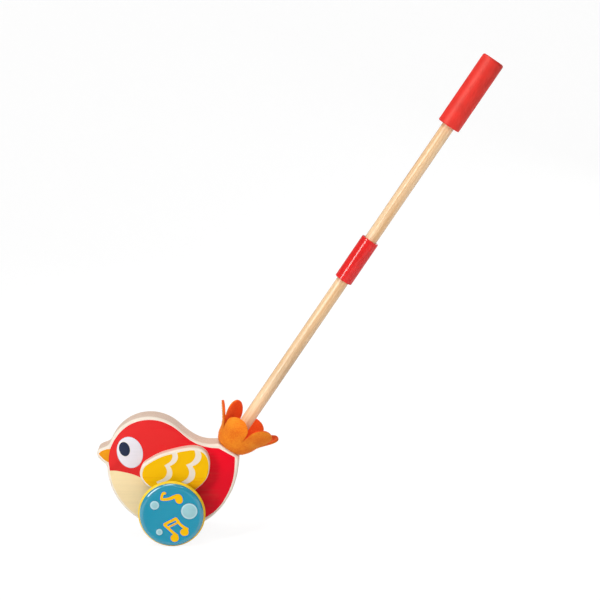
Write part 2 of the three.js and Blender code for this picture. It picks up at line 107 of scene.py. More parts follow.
def arc(centre, radius, start, end, step=1.5):
    angles = np.radians(np.linspace(start, end, max(2, math.ceil(abs(end - start) / step))))
    return np.array(centre) + radius * np.column_stack([np.cos(angles), np.sin(angles)])


def bend(start, start_heading, end, end_heading, pull_share):
    """The line that leaves one point along a heading and comes in to the next along another."""
    def along(degrees):
        return np.array([math.cos(math.radians(degrees)), math.sin(math.radians(degrees))])
    pull = math.dist(start, end) * pull_share
    a, b = start + pull * along(start_heading), end - pull * along(end_heading)
    t = np.linspace(0, 1, 50)[:, None]
    return (1 - t) ** 3 * start + 3 * t * (1 - t) ** 2 * a + 3 * t**2 * (1 - t) * b + t**3 * end


def evened(loop, spacing=0.8, soften=0):
    """A closed line with its points evenly spaced, anticlockwise, its corners softened if asked."""
    closed = np.vstack([loop, loop[:1]])
    lengths = np.concatenate([[0], np.cumsum(np.hypot(*np.diff(closed, axis=0).T))])
    stops = np.linspace(0, lengths[-1], int(lengths[-1] / spacing) + 1)[:-1]
    even = np.column_stack([np.interp(stops, lengths, closed[:, k]) for k in (0, 1)])
    if soften:
        reach = int(3 * soften / spacing) + 1
        weights = np.exp(-0.5 * (np.arange(-reach, reach + 1) * spacing / soften) ** 2)
        weights /= weights.sum()
        even = sum(w * np.roll(even, k - reach, axis=0) for k, w in enumerate(weights))
    x, z = even.T
    area = np.sum(x * np.roll(z, -1) - np.roll(x, -1) * z)
    return even if area > 0 else even[::-1]


def moved_in(loop, distance):
    """The same number of points, moved inwards square to the line, or outwards if negative."""
    along = np.roll(loop, -1, axis=0) - np.roll(loop, 1, axis=0)
    along /= np.hypot(*along.T)[:, None]
    return loop + distance * np.column_stack([-along[:, 1], along[:, 0]])


chin_angle, brow_angle, nape_angle, back_angle = 182, 156, 49, 290
chin, belly_back = (arc(belly, belly_radius, angle, angle)[0] for angle in (chin_angle, back_angle))
brow, nape = (arc(head, head_radius, angle, angle)[0] for angle in (brow_angle, nape_angle))
beak_reach = 14.1
beak_shares = [(0.126, 0.094), (0.5, 0.225), (0.816, 0.365), (1, 0.528),
               (0.908, 0.658), (0.574, 0.743), (0.238, 0.808), (0.071, 0.893)]
beak_line = [chin + (brow - chin) * up - np.array([beak_reach * out, 0]) for out, up in beak_shares]
seat_along = np.array([math.sin(lean), -math.cos(lean)])
seat_top, seat_foot = seat - seat_along * seat_length / 2, seat + seat_along * seat_length / 2
bird_outline = evened(np.vstack([
    curve_through([chin, *beak_line, brow]),
    arc(head, head_radius, brow_angle, nape_angle),
    bend(nape, -41, seat_top, 6, 0.44),
    bend(seat_foot, -86, belly_back, 200, 0.34),
    arc(belly, belly_radius, back_angle, chin_angle),
]), soften=0.9)


def colour(red, green, blue):
    """A colour given as it looks on screen, as the shader takes it."""
    return [*[(c / 255 / 12.92 if c < 10.3 else ((c / 255 + 0.055) / 1.055) ** 2.4)
              for c in (red, green, blue)], 1]


def node(tree, kind, inputs=None, **settings):
    """Adds a node, sets it, and fills its sockets with values or with other nodes' outputs."""
    made = tree.nodes.new(kind)
    for key, value in settings.items():
        setattr(made, key, value)
    for key, value in (inputs or {}).items():
        if isinstance(value, bpy.types.NodeSocket):
            tree.links.new(value, made.inputs[key])
        else:
            made.inputs[key].default_value = value
    return made


def sockets(tree, inputs, outputs):
    """Gives a node group its named inputs and outputs, and returns its two end nodes."""
    for name, (kind, value) in inputs.items():
        socket = tree.interface.new_socket(name, in_out="INPUT", socket_type="NodeSocket" + kind)
        if value is not None:
            socket.default_value = value
    for name, kind in outputs.items():
        tree.interface.new_socket(name, in_out="OUTPUT", socket_type="NodeSocket" + kind)
    return tree.nodes.new("NodeGroupInput").outputs, tree.nodes.new("NodeGroupOutput")


def noise(tree, vector, scale, detail=3.0, roughness=0.55):
    return node(tree, "ShaderNodeTexNoise", {"Vector": vector, "Scale": scale, "Detail": detail,
                                             "Roughness": roughness}).outputs["Fac"]


def ramp(tree, value, low, high):
    """0 where the value is low, 1 where it is high, smooth between."""
    return node(tree, "ShaderNodeMapRange", {"Value": value, "From Min": low, "From Max": high},
                interpolation_type="SMOOTHSTEP").outputs["Result"]


def maths(tree, operation, *values):
    return node(tree, "ShaderNodeMath", dict(enumerate(values)), operation=operation).outputs[0]


def plus(tree, *values):
    return maths(tree, "ADD", *values)


def minus(tree, *values):
    return maths(tree, "SUBTRACT", *values)


def times(tree, *values):
    return maths(tree, "MULTIPLY", *values)


def blended(tree, first, share, second):
    """So much of the first value, and the rest of the second."""
    return plus(tree, times(tree, first, share), times(tree, second, 1 - share))


def stretched(tree, vector, scale):
    return node(tree, "ShaderNodeVectorMath", {0: vector, 1: scale}, operation="MULTIPLY").outputs[0]


def mixed(tree, share, first, second, blend_type="MIX"):
    made = node(tree, "ShaderNodeMix", data_type="RGBA", blend_type=blend_type)
    for socket, value in ((made.inputs[0], share), (made.inputs[6], first), (made.inputs[7], second)):
        if isinstance(value, bpy.types.NodeSocket):
            tree.links.new(value, socket)
        else:
            socket.default_value = value
    return made.outputs[2]


def effect_group(name, inputs):
    """A group of nodes that takes a place, and gives a colour, a height and a roughness."""
    tree = bpy.data.node_groups.new(name, "ShaderNodeTree")
    given, out = sockets(tree, {"Vector": ("Vector", None), **inputs},
                         {"Color": "Color", "Height": "Float", "Roughness": "Float"})
    return tree, given, out


def gives(tree, out, **results):
    """Joins results to a group's outputs of the same names."""
    for name, result in results.items():
        tree.links.new(result, out.inputs[name])
    return tree


def wood_grain_group():
    """Straight grain that runs along X: broad bands, fine streaks, and short dark pores."""
    tree, given, out = effect_group("wood_grain", {
        "Light": ("Color", None), "Dark": ("Color", None), "Pores": ("Float", 0.4)})
    bands = noise(tree, stretched(tree, given["Vector"], (6, 130, 130)), 1.0, 2.0)
    streaks = noise(tree, stretched(tree, given["Vector"], (9, 700, 700)), 1.0, 3.0, 0.5)
    specks = noise(tree, stretched(tree, given["Vector"], (160, 3600, 3600)), 1.0, 1.0)
    pores = ramp(tree, specks, 0.66, 0.76)
    tone = ramp(tree, blended(tree, bands, 0.55, streaks), 0.36, 0.64)
    grained = mixed(tree, tone, given["Dark"], given["Light"])
    pored = times(tree, pores, given["Pores"])
    return gives(tree, out, Color=mixed(tree, pored, grained, given["Dark"], "MULTIPLY"),
                 Height=minus(tree, streaks, times(tree, pores, 0.6)),
                 Roughness=maths(tree, "MULTIPLY_ADD", streaks, 0.16, 0.5))


def ply_edge_group():
    """The sanded edge of a plywood board: pale outer veneer, then plies with glue lines between."""
    tree, given, out = effect_group("ply_edge", {
        "Face": ("Float", 0.015), "Veneer": ("Float", 0.0024), "Ply": ("Float", 0.0016),
        "Veneer Colour": ("Color", None), "Long Grain": ("Color", None), "End Grain": ("Color", None),
        "Glue": ("Color", None)})
    across = node(tree, "ShaderNodeSeparateXYZ", {"Vector": given["Vector"]}).outputs["Y"]
    wander = noise(tree, given["Vector"], 70.0, 2.0)
    depth = minus(tree, given["Face"], maths(tree, "ABSOLUTE", across))
    depth = plus(tree, depth, maths(tree, "MULTIPLY_ADD", wander, 0.0005, -0.00025))
    within = maths(tree, "DIVIDE", minus(tree, depth, given["Veneer"]), given["Ply"])
    pair = maths(tree, "PINGPONG", within, 1.0)
    off_joint = maths(tree, "ABSOLUTE", minus(tree, pair, 0.5))
    glue = minus(tree, 1.0, ramp(tree, off_joint, 0.02, 0.12))
    fleck = noise(tree, given["Vector"], 2600.0, 2.0, 0.7)
    plies = mixed(tree, ramp(tree, pair, 0.42, 0.58), given["Long Grain"], given["End Grain"])
    plies = mixed(tree, times(tree, glue, 0.55), plies, given["Glue"])
    plies = mixed(tree, times(tree, ramp(tree, fleck, 0.5, 0.72), 0.35), plies, given["Glue"])
    pale = mixed(tree, times(tree, fleck, 0.14), given["Veneer Colour"], given["Long Grain"])
    return gives(tree, out, Color=mixed(tree, ramp(tree, within, -0.08, 0.08), pale, plies),
                 Height=minus(tree, times(tree, fleck, 0.35), times(tree, glue, 0.5)),
                 Roughness=maths(tree, "MULTIPLY_ADD", fleck, 0.2, 0.5))


wood_grain = wood_grain_group()
ply_edge = ply_edge_group()


def material(name, **values):
    """A new material with a Principled shader, whose even values are set on its own sockets."""
    made = bpy.data.materials.new(name)
    made.use_nodes = True
    shader = made.node_tree.nodes["Principled BSDF"]
    for key, value in values.items():
        shader.inputs[key.replace("_", " ")].default_value = value
    return made, made.node_tree, shader


def surfaced(tree, shader, group, inputs, bump_depth, vector=None):
    """Feeds a material's shader from an effect group, with its height as a bump."""
    place = vector or node(tree, "ShaderNodeTexCoord").outputs["Object"]
    effect = node(tree, "ShaderNodeGroup", node_tree=group)
    tree.links.new(place, effect.inputs["Vector"])
    for key, value in inputs.items():
        effect.inputs[key].default_value = value
    bump = node(tree, "ShaderNodeBump", {"Height": effect.outputs["Height"], "Strength": 0.6,
                                         "Distance": bump_depth})
    tree.links.new(effect.outputs["Color"], shader.inputs["Base Color"])
    tree.links.new(effect.outputs["Roughness"], shader.inputs["Roughness"])
    tree.links.new(bump.outputs["Normal"], shader.inputs["Normal"])
    return effect


def plywood(name, face, veneer=0.0024):
    made, tree, shader = material(name, Specular_IOR_Level=0.35)
    surfaced(tree, shader, ply_edge, {
        "Face": face, "Veneer": veneer, "Veneer Colour": colour(243, 230, 213),
        "Long Grain": colour(240, 216, 197), "End Grain": colour(222, 192, 172),
        "Glue": colour(178, 140, 114)}, 0.00012)
    return made


body_ply = plywood("body_plywood", body_half * MM)


def tidy(made, corner_angle=35):
    """Merges doubled points, turns the faces outwards and sets what is smooth and what is sharp."""
    work = bmesh.new()
    work.from_mesh(made.data)
    bmesh.ops.remove_doubles(work, verts=work.verts, dist=1e-7)
    bmesh.ops.recalc_face_normals(work, faces=work.faces)
    work.to_mesh(made.data)
    work.free()
    made.data.shade_smooth()
    made.data.set_sharp_from_angle(angle=math.radians(corner_angle))


def piece(name, verts, faces, finish, corner_angle=35):
    """A mesh object in the toy's frame, from millimetres, smooth but for its sharp corners."""
    mesh = bpy.data.meshes.new(name)
    mesh.from_pydata([tuple(np.array(v) * MM) for v in verts], [], faces)
    mesh.materials.append(finish)
    made = linked(name, mesh)
    tidy(made, corner_angle)
    return made


def walls(count, rings, first=0):
    """The faces of a closed solid of rings of as many points each, with a flat cap at both ends."""
    last = first + (rings - 1) * count
    faces = [list(range(first, first + count)), list(range(last, last + count))[::-1]]
    for start in range(first, last, count):
        for k in range(count):
            a, b = start + k, start + (k + 1) % count
            faces.append([a, a + count, b + count, b])
    return faces


def stacked(name, rings, finish):
    """A closed solid from rings of points."""
    return piece(name, [point for ring in rings for point in ring], walls(len(rings[0]), len(rings)), finish)


def belongs(made, body, slot, *replaced):
    """Says which body a piece rides and which solids it stands for. Its slot is not used."""
    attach(made, body)
    if replaced:
        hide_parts(*replaced)


def at_depth(loop, y):
    """An outline as points in the toy's frame, at a depth across the toy."""
    return [(x + axle_x, y, z) for x, z in loop]


def sawn_board(name, loop, back, front, finish, round_over=0, joint=0.15):
    """A sawn board from one depth across the toy to another, its front edge rounded over."""
    side = math.copysign(1, front - back)
    rings = [at_depth(moved_in(loop, joint), back), at_depth(loop, back + side * joint)]
    if round_over:
        for angle in np.radians(np.linspace(0, 90, 8)):
            inset, rise = round_over * (1 - math.cos(angle)), round_over * (math.sin(angle) - 1)
            rings.append(at_depth(moved_in(loop, inset), front + side * rise))
    else:
        rings += [at_depth(loop, front - side * joint), at_depth(moved_in(loop, joint), front)]
    return stacked(name, rings, finish)


def rod(radius, start, end, sides=48):
    """A plain round solid between two points, for a hole to be cut with."""
    start, end = Vector(start) * MM, Vector(end) * MM
    turn = (end - start).to_track_quat("Z", "Y").to_matrix().to_4x4()
    work = bmesh.new()
    bmesh.ops.create_cone(work, cap_ends=True, segments=sides, radius1=radius * MM, radius2=radius * MM,
                          depth=(end - start).length, matrix=Matrix.Translation((start + end) / 2) @ turn)
    mesh = bpy.data.meshes.new("cutter")
    work.to_mesh(mesh)
    work.free()
    return linked("cutter", mesh)


def rod_across(radius, place, near, far, sides=48):
    """A rod that runs straight across the toy at a place in X and Z."""
    return rod(radius, (place[0], near, place[1]), (place[0], far, place[1]), sides)


def baked(made):
    """The plain mesh that an object's modifiers make."""
    bpy.context.view_layer.update()
    return bpy.data.meshes.new_from_object(made.evaluated_get(bpy.context.evaluated_depsgraph_get()))


def shaped(base, others, operation="DIFFERENCE"):
    """Cuts other solids out of a piece, or joins them to it, and keeps the result as its mesh."""
    for other in others:
        modifier = base.modifiers.new("shape", "BOOLEAN")
        modifier.operation = operation
        modifier.object = other
        modifier.solver = "EXACT"
    done = baked(base)
    base.modifiers.clear()
    base.data = done
    for other in others:
        bpy.data.objects.remove(other)
    tidy(base)
    return base


both_sides = (("left", -1), ("right", 1))
handle_along = np.array([math.cos(lean), 0, math.sin(lean)])
seat_point = np.array([seat[0] + axle_x, 0, seat[1]])
fit_gap = 0.3
overrun = 5
through = body_half + overrun
dowel_radius = 7.25
socket_depth = 40
axle_radius = 3
bush_wall = 2
click_wheel_radius = 13
pocket_gap = 1.5
slot_front, slot_back, slot_foot, slot_top = -29.1, 6.5, 10.5, 18.8
reed_pin_radius, reed_pin_depth = 2, 4
reed_pin_place = (axle_x - 24, axle_height + 14.6)
wing_length, wing_height = 79.3, 57.3
wing_start, wing_foot = belly[0] - 37.2, axle_height + 16.7
wing_pin_radius, wing_pin_depth, wing_pin_spacing = 3, 7, 34
wing_pin_x = [axle_x + wing_start + (wing_length + way * wing_pin_spacing) / 2 for way in (-1, 1)]
wing_pin_z = wing_foot + wing_height / 2


def socket_cutter():
    return rod(dowel_radius + fit_gap, seat_point - socket_depth * handle_along,
               seat_point + overrun * handle_along, 64)


bird_core = sawn_board("bird_core", bird_outline, -core_half, core_half, body_ply)
reed_slot = evened(np.array([(slot_front, slot_foot), (slot_back, slot_foot), (slot_back, slot_top),
                             (slot_front, slot_top)]) + (0, axle_height))
shaped(bird_core, [
    rod_across(click_wheel_radius + pocket_gap, (axle_x, axle_height), -through, through, 64),
    stacked("cutter", [at_depth(reed_slot, -through), at_depth(reed_slot, through)], body_ply),
    socket_cutter(),
])
belongs(bird_core, "bird", "body_board", "core_board")

for side, sign in both_sides:
    face = sawn_board(f"{side}_face", bird_outline, sign * core_half, sign * body_half, body_ply, board_round)
    pin_floor = sign * (body_half - wing_pin_depth - fit_gap)
    shaped(face, [
        rod_across(axle_radius + bush_wall + 2 * fit_gap, (axle_x, axle_height), 0, sign * through),
        socket_cutter(),
        rod_across(reed_pin_radius + fit_gap, reed_pin_place, 0, sign * (core_half + reed_pin_depth)),
        *[rod_across(wing_pin_radius + fit_gap, (x, wing_pin_z), pin_floor, sign * through)
          for x in wing_pin_x],
    ])
    belongs(face, "bird", "body_board", f"{side}_face_board")


# Paint on the body: the red, the cream belly and the orange beak are printed on each face board,
# over a white first coat that shows as a thin pale line along every edge of the colours.
def painted_wood_group():
    """Satin paint on wood: the grain barely telegraphs, with a faint mottle and fine orange peel. Its tone
    can also slide along a direction towards the deep colour, which paints light and shade into the colour.
    """
    tree, given, out = effect_group("painted_wood", {
        "Paint": ("Color", None), "Deep": ("Color", None), "Sheen Roughness": ("Float", 0.42),
        "Slide": ("Vector", (0, 0, 0)), "Slide Middle": ("Float", 0.0)})
    grain = noise(tree, stretched(tree, given["Vector"], (18, 420, 420)), 1.0, 4.0, 0.6)
    mottle = noise(tree, given["Vector"], 45.0, 2.0)
    peel = noise(tree, given["Vector"], 1500.0, 2.0)
    slid = node(tree, "ShaderNodeVectorMath", {0: given["Vector"], 1: given["Slide"]},
                operation="DOT_PRODUCT")
    slid = minus(tree, slid.outputs["Value"], given["Slide Middle"])
    tone = ramp(tree, plus(tree, blended(tree, grain, 0.6, mottle), slid), 0.62, 0.36)
    uneven = maths(tree, "MULTIPLY_ADD", peel, 0.12, -0.06)
    return gives(tree, out, Color=mixed(tree, tone, given["Paint"], given["Deep"]),
                 Height=blended(tree, grain, 0.7, peel),
                 Roughness=plus(tree, given["Sheen Roughness"], uneven))


painted_wood = painted_wood_group()


def paint(name, rgb, roughness=0.42, gloss=0.15, deep=None, grain_depth=0.00002, slide=(0, 0, 0),
          middle=0):
    """A paint of one colour with a deeper tone, to which it can slide along a direction; that slide is
    painted light and shade.
    """
    made, tree, shader = material(name, Specular_IOR_Level=gloss)
    surfaced(tree, shader, painted_wood, {
        "Paint": colour(*rgb), "Deep": colour(*(deep or [c * 0.98 for c in rgb])),
        "Sheen Roughness": roughness, "Slide": slide, "Slide Middle": middle}, grain_depth)
    return made


print_root = 0.05
print_spacing = 0.6


def print_film(name, loops, face, lift, finish, body, slot, edge=0.04, spacing=print_spacing, shift=(0, 0)):
    """Thin films of paint on a flat face across the toy, one for each outline, as one piece."""
    side = math.copysign(1, face)
    verts, faces = [], []
    for loop in loops:
        loop = evened(loop, spacing) + np.array(shift)
        faces += walls(len(loop), 3, len(verts))
        for inset, height in ((0, -print_root), (0, lift - edge / 2), (edge, lift)):
            verts += at_depth(moved_in(loop, inset), face + side * height)
    belongs(piece(name, verts, faces, finish), body, slot)


first_coat = paint("white_first_coat", (250, 243, 233), 0.5)
# The red is paler towards the head and deepens to a saturated red at the rump: the paler head is painted
# glare.
body_red = paint("bird_red", (233, 45, 45), 0.42, 0.12, (240, 8, 37), slide=(-4, 0, 0), middle=0.5)
belly_cream = paint("belly_cream", (250, 226, 176))
beak_orange = paint("beak_orange", (246, 158, 18))

breast_line = curve_through([
    (-72.1, 81.8), (-65.7, 81.7), (-54, 79.6), (-45.3, 77.3), (-38.8, 74.6), (-30, 69.9), (-18, 61.3),
    (-8, 50.3), (0, 36.3), (5, 16.9)])
red_head = curve_through([
    (-72.1, 81.8), (-72.9, 88.3), (-73.1, 95.4), (-72.4, 101.6), (-70.9, 108), (-67.9, 114.9),
    (-61.6, 124.5), (-54.4, 131.7), (-47.5, 136.3), (-40.7, 139.2), (-33.8, 140.9), (-27, 141.5),
    (-20.2, 141.2), (-13.4, 139.9), (-6.6, 137.4), (0.2, 133.8), (7, 128.8), (13.7, 122.9),
    (20.5, 117.6), (27.3, 113.7), (34.1, 111.1), (40.9, 109.5), (47.8, 108.7), (52.3, 108.5)])
red_rump = curve_through([
    (70.9, 98), (70.9, 91.7), (70.4, 84.7), (69.6, 77.6), (68.2, 70.5), (66, 63.4), (63, 56.3),
    (59.2, 49.1), (54.6, 42), (48.6, 35.1)])
red_margin, belly_margin = 4, 2.7
foot_angle = 274
bottom_edge = arc(belly, belly_radius - red_margin, 311, foot_angle)
belly_edge = arc(belly, belly_radius - belly_margin, foot_angle, 188)
red_area = np.vstack([red_head, red_rump, bottom_edge, breast_line[::-1][1:-1]])
belly_area = np.vstack([breast_line, belly_edge])
beak_area = np.vstack([
    curve_through([(-71, 107.5), (-75.5, 106.9), (-79.7, 105.5), (-82.8, 103.6), (-84.2, 101.9),
                   (-83.2, 99.8), (-80.4, 96.7), (-77, 93.8), (-73.3, 91.4), (-72, 90.9)]),
    [(-70, 92.3), (-69.5, 100.3)],
])
coat_margin = 0.45
for side, sign in both_sides:
    face = sign * body_half
    for name, area, lift in (("red", red_area, 0.03), ("belly", belly_area, 0.025),
                             ("beak", beak_area, 0.02)):
        coat = moved_in(evened(area, print_spacing), -coat_margin)
        print_film(f"{side}_{name}_first_coat", [coat], face, lift, first_coat, "bird", "body_paint", 0.01)
    for name, area, lift, finish in (("beak", beak_area, 0.05, beak_orange),
                                     ("belly", belly_area, 0.055, belly_cream),
                                     ("red", red_area, 0.07, body_red)):
        print_film(f"{side}_{name}_paint", [area], face, lift, finish, "bird", "body_paint")


# Eyes: an oval of cool white with a darker navy oval in its front half, both leaning forwards,
# printed on the red of each side.
eye_white = paint("eye_white", (243, 238, 245), 0.4, 0.2)
eye_rim = paint("eye_rim", (214, 226, 240), 0.4)
pupil_navy = paint("pupil_navy", (42, 51, 78), 0.36)


def oval(x, z, half_width, half_height, tilt):
    angles = np.linspace(0, 2 * math.pi, 90, endpoint=False)
    wide, high = half_width * np.cos(angles), half_height * np.sin(angles)
    c, s = math.cos(math.radians(tilt)), math.sin(math.radians(tilt))
    return np.column_stack([x + wide * c - high * s, z + wide * s + high * c])


eye, pupil = (-48.8, 103.3), (-54.9, 107.2)
eye_tilt = 13
for side, sign in both_sides:
    for name, place, half_width, half_height, lift, finish in (
        ("eye_rim", eye, 14.7, 18.5, 0.085, eye_rim),
        ("eye_white", eye, 14.1, 17.9, 0.1, eye_white),
        ("pupil_rim", pupil, 6.6, 9, 0.11, first_coat),
        ("pupil", pupil, 6.1, 8.5, 0.125, pupil_navy),
    ):
        loop = oval(*place, half_width, half_height, eye_tilt)
        print_film(f"{side}_{name}", [loop], sign * body_half, lift, finish, "bird", "body_paint", 0.02)


# Wings: thick plywood boards with a rounded front edge, glued and pinned to the body.
# Each is printed in three panels of yellow, with bare stripes like feather edges between them.
wing_shares = [(0, 0.46), (0.035, 0.63), (0.142, 0.747), (0.294, 0.857), (0.458, 0.927), (0.615, 0.977),
               (0.757, 1), (0.87, 0.972), (0.955, 0.88), (1, 0.69), (0.975, 0.42), (0.886, 0.246),
               (0.72, 0.08), (0.49, 0), (0.29, 0.055), (0.129, 0.192), (0.03, 0.33)]
wing_outline = evened(curve_through(
    [(wing_start + wing_length * along, wing_foot + wing_height * up) for along, up in wing_shares],
    closed=True))
wing_thickness = 13
wing_front = body_half + wing_thickness
wing_round = 2
wing_ply = plywood("wing_plywood", wing_front * MM, 0.0026)
# The yellow deepens to orange towards the foot of the wing: painted shadow of the wheel.
wing_yellow = paint("wing_yellow", (253, 194, 2), 0.42, 0.08, (246, 166, 4), slide=(0, 0, 12), middle=0.86)


def split(loop, line):
    """Cuts a closed outline along a line from its top to its foot: what is left and right of it."""
    crossings = []
    for i in range(len(line) - 1):
        p, r = line[i], line[i + 1] - line[i]
        for k in range(len(loop)):
            q, s = loop[k], loop[(k + 1) % len(loop)] - loop[k]
            turn = r[0] * s[1] - r[1] * s[0]
            if abs(turn) < 1e-12:
                continue
            t = ((q - p)[0] * s[1] - (q - p)[1] * s[0]) / turn
            u = ((q - p)[0] * r[1] - (q - p)[1] * r[0]) / turn
            if 0 <= t < 1 and 0 <= u < 1:
                crossings.append((i + t, k, p + t * r))
    (first, top, top_point), (last, foot, foot_point) = crossings[0], crossings[-1]
    inner = line[int(first) + 1:int(last) + 1]
    cut = np.vstack([[top_point], inner, [foot_point]])
    count = len(loop)
    left = np.array([loop[(top + 1 + k) % count] for k in range((foot - top) % count)])
    right = np.array([loop[(foot + 1 + k) % count] for k in range((top - foot) % count)])
    return np.vstack([left, cut[::-1]]), np.vstack([right, cut])


run_on = 15


def feather_line(*lobes):
    """The wavy edge of a stripe, lobe by lobe from the top, run on past both ends."""
    line = curve_through(lobes[0])
    for lobe in lobes[1:]:
        line = np.vstack([line, curve_through([line[-1], *lobe])[1:]])
    up, down = line[0] - line[3], line[-1] - line[-4]
    top, foot = line[0] + up / np.hypot(*up) * run_on, line[-1] + down / np.hypot(*down) * run_on
    return np.vstack([[top], line, [foot]])


feather_edges = [
    feather_line([(0.3, 104.6), (0.8, 101.6), (-1.2, 97), (-4.6, 94.1), (-8.6, 91.7)],
                 [(-6.4, 88.2), (-5.6, 84.1), (-7, 79.5), (-10.5, 75.9), (-18, 72.5)],
                 [(-15.9, 68.9), (-15.2, 64.8), (-16.5, 60.5), (-20, 56.8)]),
    feather_line([(6, 106), (6.8, 101.1), (5, 96.4), (1.3, 92.9), (-2.4, 90.9)],
                 [(-0.5, 87.1), (0.3, 82.4), (-1.4, 77.1), (-6, 73.6), (-12.2, 71.8)],
                 [(-10.1, 68.2), (-9.4, 63.3), (-11, 58), (-15.6, 54.3)]),
    feather_line([(26, 108.7), (26.8, 104), (25.4, 99.4), (21.9, 95.3), (16, 92.4)],
                 [(18.5, 88.3), (19.5, 83), (17.8, 77.8), (14.7, 74.8), (8.6, 70.9)],
                 [(10.8, 66.9), (11.7, 62.3), (10.2, 57.8), (6.5, 54.3)]),
    feather_line([(32.2, 108.1), (33.6, 102.9), (32.1, 97.6), (28.7, 93.6), (23, 90.6)],
                 [(25.5, 86.6), (26.3, 81.9), (24.6, 76), (21.1, 72.5), (14.6, 69.3)],
                 [(16.8, 65.3), (17.6, 60.8), (16.3, 56.3), (13, 53.3)]),
]


wing_margin = 1.9
panel_shift = (0.9, -0.8)
paint_wrap, stencil_over = 1.5, 1


def wing_panels(extra=0):
    """The three painted panels, each grown outwards by an extra width for the coat below it."""
    rest = moved_in(wing_outline, wing_margin - extra) + panel_shift
    first, rest = split(rest, feather_edges[0] + (extra, 0))
    _, rest = split(rest, feather_edges[1] - (extra, 0))
    second, rest = split(rest, feather_edges[2] + (extra, 0))
    _, third = split(rest, feather_edges[3] - (extra, 0))
    return [first, second, third]


def wing_film(name, panels, sign, lift, finish):
    """A coat on a wing: where the panels cross a board a hair larger, so it goes round the edge."""
    outline = moved_in(wing_outline, -lift)
    coat = sawn_board(name, outline, sign * through, sign * (wing_front + lift), finish, wing_round)
    stencil = None
    for panel in panels:
        loop = evened(panel, print_spacing)
        part = stacked("stencil", [at_depth(loop, sign * (wing_front - paint_wrap)),
                                   at_depth(loop, sign * (wing_front + stencil_over))], finish)
        stencil = shaped(stencil, [part], "UNION") if stencil else part
    shaped(coat, [stencil], "INTERSECT")
    belongs(coat, "bird", "wing_paint")


for side, sign in both_sides:
    wing = sawn_board(f"{side}_wing_board", wing_outline, sign * body_half, sign * wing_front, wing_ply,
                      wing_round)
    pin_floor = sign * (body_half + wing_pin_depth + fit_gap)
    shaped(wing, [rod_across(wing_pin_radius + fit_gap, (x, wing_pin_z), sign * (body_half - overrun),
                             pin_floor) for x in wing_pin_x])
    belongs(wing, "bird", "wing_paint", f"{side}_wing")
    wing_film(f"{side}_wing_first_coat", wing_panels(0.4), sign, 0.03, first_coat)
    wing_film(f"{side}_wing_paint", wing_panels(), sign, 0.06, wing_yellow)


# Wheels: turned discs of wood with rounded rims, painted blue all over, pressed on the axle.
# The faces are printed with plain round dots and two music notes.
def real_mesh(tree, geometry, finish, out):
    """Ends a tree of nodes: its geometry made real, with the finish set on it."""
    real = node(tree, "GeometryNodeRealizeInstances", {"Geometry": geometry})
    done = node(tree, "GeometryNodeSetMaterial", {"Geometry": real.outputs["Geometry"], "Material": finish})
    return gives(tree, out, Geometry=done.outputs["Geometry"])


def turning_tree():
    """Carries a profile round an axis: a grid whose points are taken from the profile."""
    tree = bpy.data.node_groups.new("turned_piece", "GeometryNodeTree")
    given, out = sockets(tree, {"Profile": ("Geometry", None), "Sides": ("Int", 96),
                                "Weld Distance": ("Float", 1e-6), "Finish": ("Material", None)},
                         {"Geometry": "Geometry"})
    size = node(tree, "GeometryNodeAttributeDomainSize", {"Geometry": given["Profile"]})
    count = size.outputs["Point Count"]
    grid = node(tree, "GeometryNodeMeshGrid", {
        "Size X": 1.0, "Size Y": 1.0, "Vertices X": plus(tree, given["Sides"], 1.0), "Vertices Y": count})
    spot = node(tree, "GeometryNodeInputPosition").outputs["Position"]
    flat = node(tree, "ShaderNodeSeparateXYZ", {"Vector": spot})
    angle = maths(tree, "MULTIPLY_ADD", flat.outputs["X"], 2 * math.pi, math.pi)
    row = times(tree, plus(tree, flat.outputs["Y"], 0.5), minus(tree, count, 1.0))
    whole = node(tree, "FunctionNodeFloatToInt", {"Float": row}, rounding_mode="ROUND").outputs["Integer"]
    point = node(tree, "GeometryNodeSampleIndex", {"Geometry": given["Profile"], "Index": whole},
                 data_type="FLOAT_VECTOR", domain="POINT")
    tree.links.new(spot, point.inputs["Value"])
    taken = node(tree, "ShaderNodeSeparateXYZ", {"Vector": point.outputs["Value"]})
    placed = node(tree, "ShaderNodeCombineXYZ", {
        "X": times(tree, taken.outputs["X"], maths(tree, "COSINE", angle)),
        "Y": times(tree, taken.outputs["X"], maths(tree, "SINE", angle)),
        "Z": taken.outputs["Z"]})
    carried = node(tree, "GeometryNodeSetPosition", {"Geometry": grid.outputs["Mesh"],
                                                     "Position": placed.outputs["Vector"]})
    welded = node(tree, "GeometryNodeMergeByDistance", {"Geometry": carried.outputs["Geometry"],
                                                        "Distance": given["Weld Distance"]})
    return real_mesh(tree, welded.outputs["Geometry"], given["Finish"], out)


turned_piece = turning_tree()


def made_by(tree, name, base, inputs):
    """Runs a tree of nodes on a mesh with its named inputs, and returns the plain mesh it makes."""
    maker = linked(name, base)
    modifier = maker.modifiers.new(tree.name, "NODES")
    modifier.node_group = tree
    for socket in tree.interface.items_tree:
        if socket.in_out == "INPUT" and socket.name in inputs:
            modifier[socket.identifier] = inputs[socket.name]
    maker.data.update()
    mesh = baked(maker)
    bpy.data.objects.remove(maker)
    mesh.name = name
    return mesh


def turned(name, profile, place, finish, body, slot, replaced, sides=96):
    """A turned piece from its profile of radius and length, in millimetres, set in its place."""
    base = bpy.data.meshes.new(name)
    base.from_pydata([(r * MM, 0, t * MM) for r, t in profile],
                     [(i, i + 1) for i in range(len(profile) - 1)], [])
    mesh = made_by(turned_piece, name, base, {"Sides": sides, "Finish": finish})
    mesh.transform(place)
    made = linked(name, mesh)
    tidy(made)
    belongs(made, body, slot, replaced)


def rounded(r, t, radius, start, end, steps=8, length=None):
    """Points of a rounded corner of a profile round its own centre, oval if it has its own length."""
    angles = np.radians(np.linspace(start, end, steps + 1))
    return [(r + radius * math.cos(a), t + (length or radius) * math.sin(a)) for a in angles]


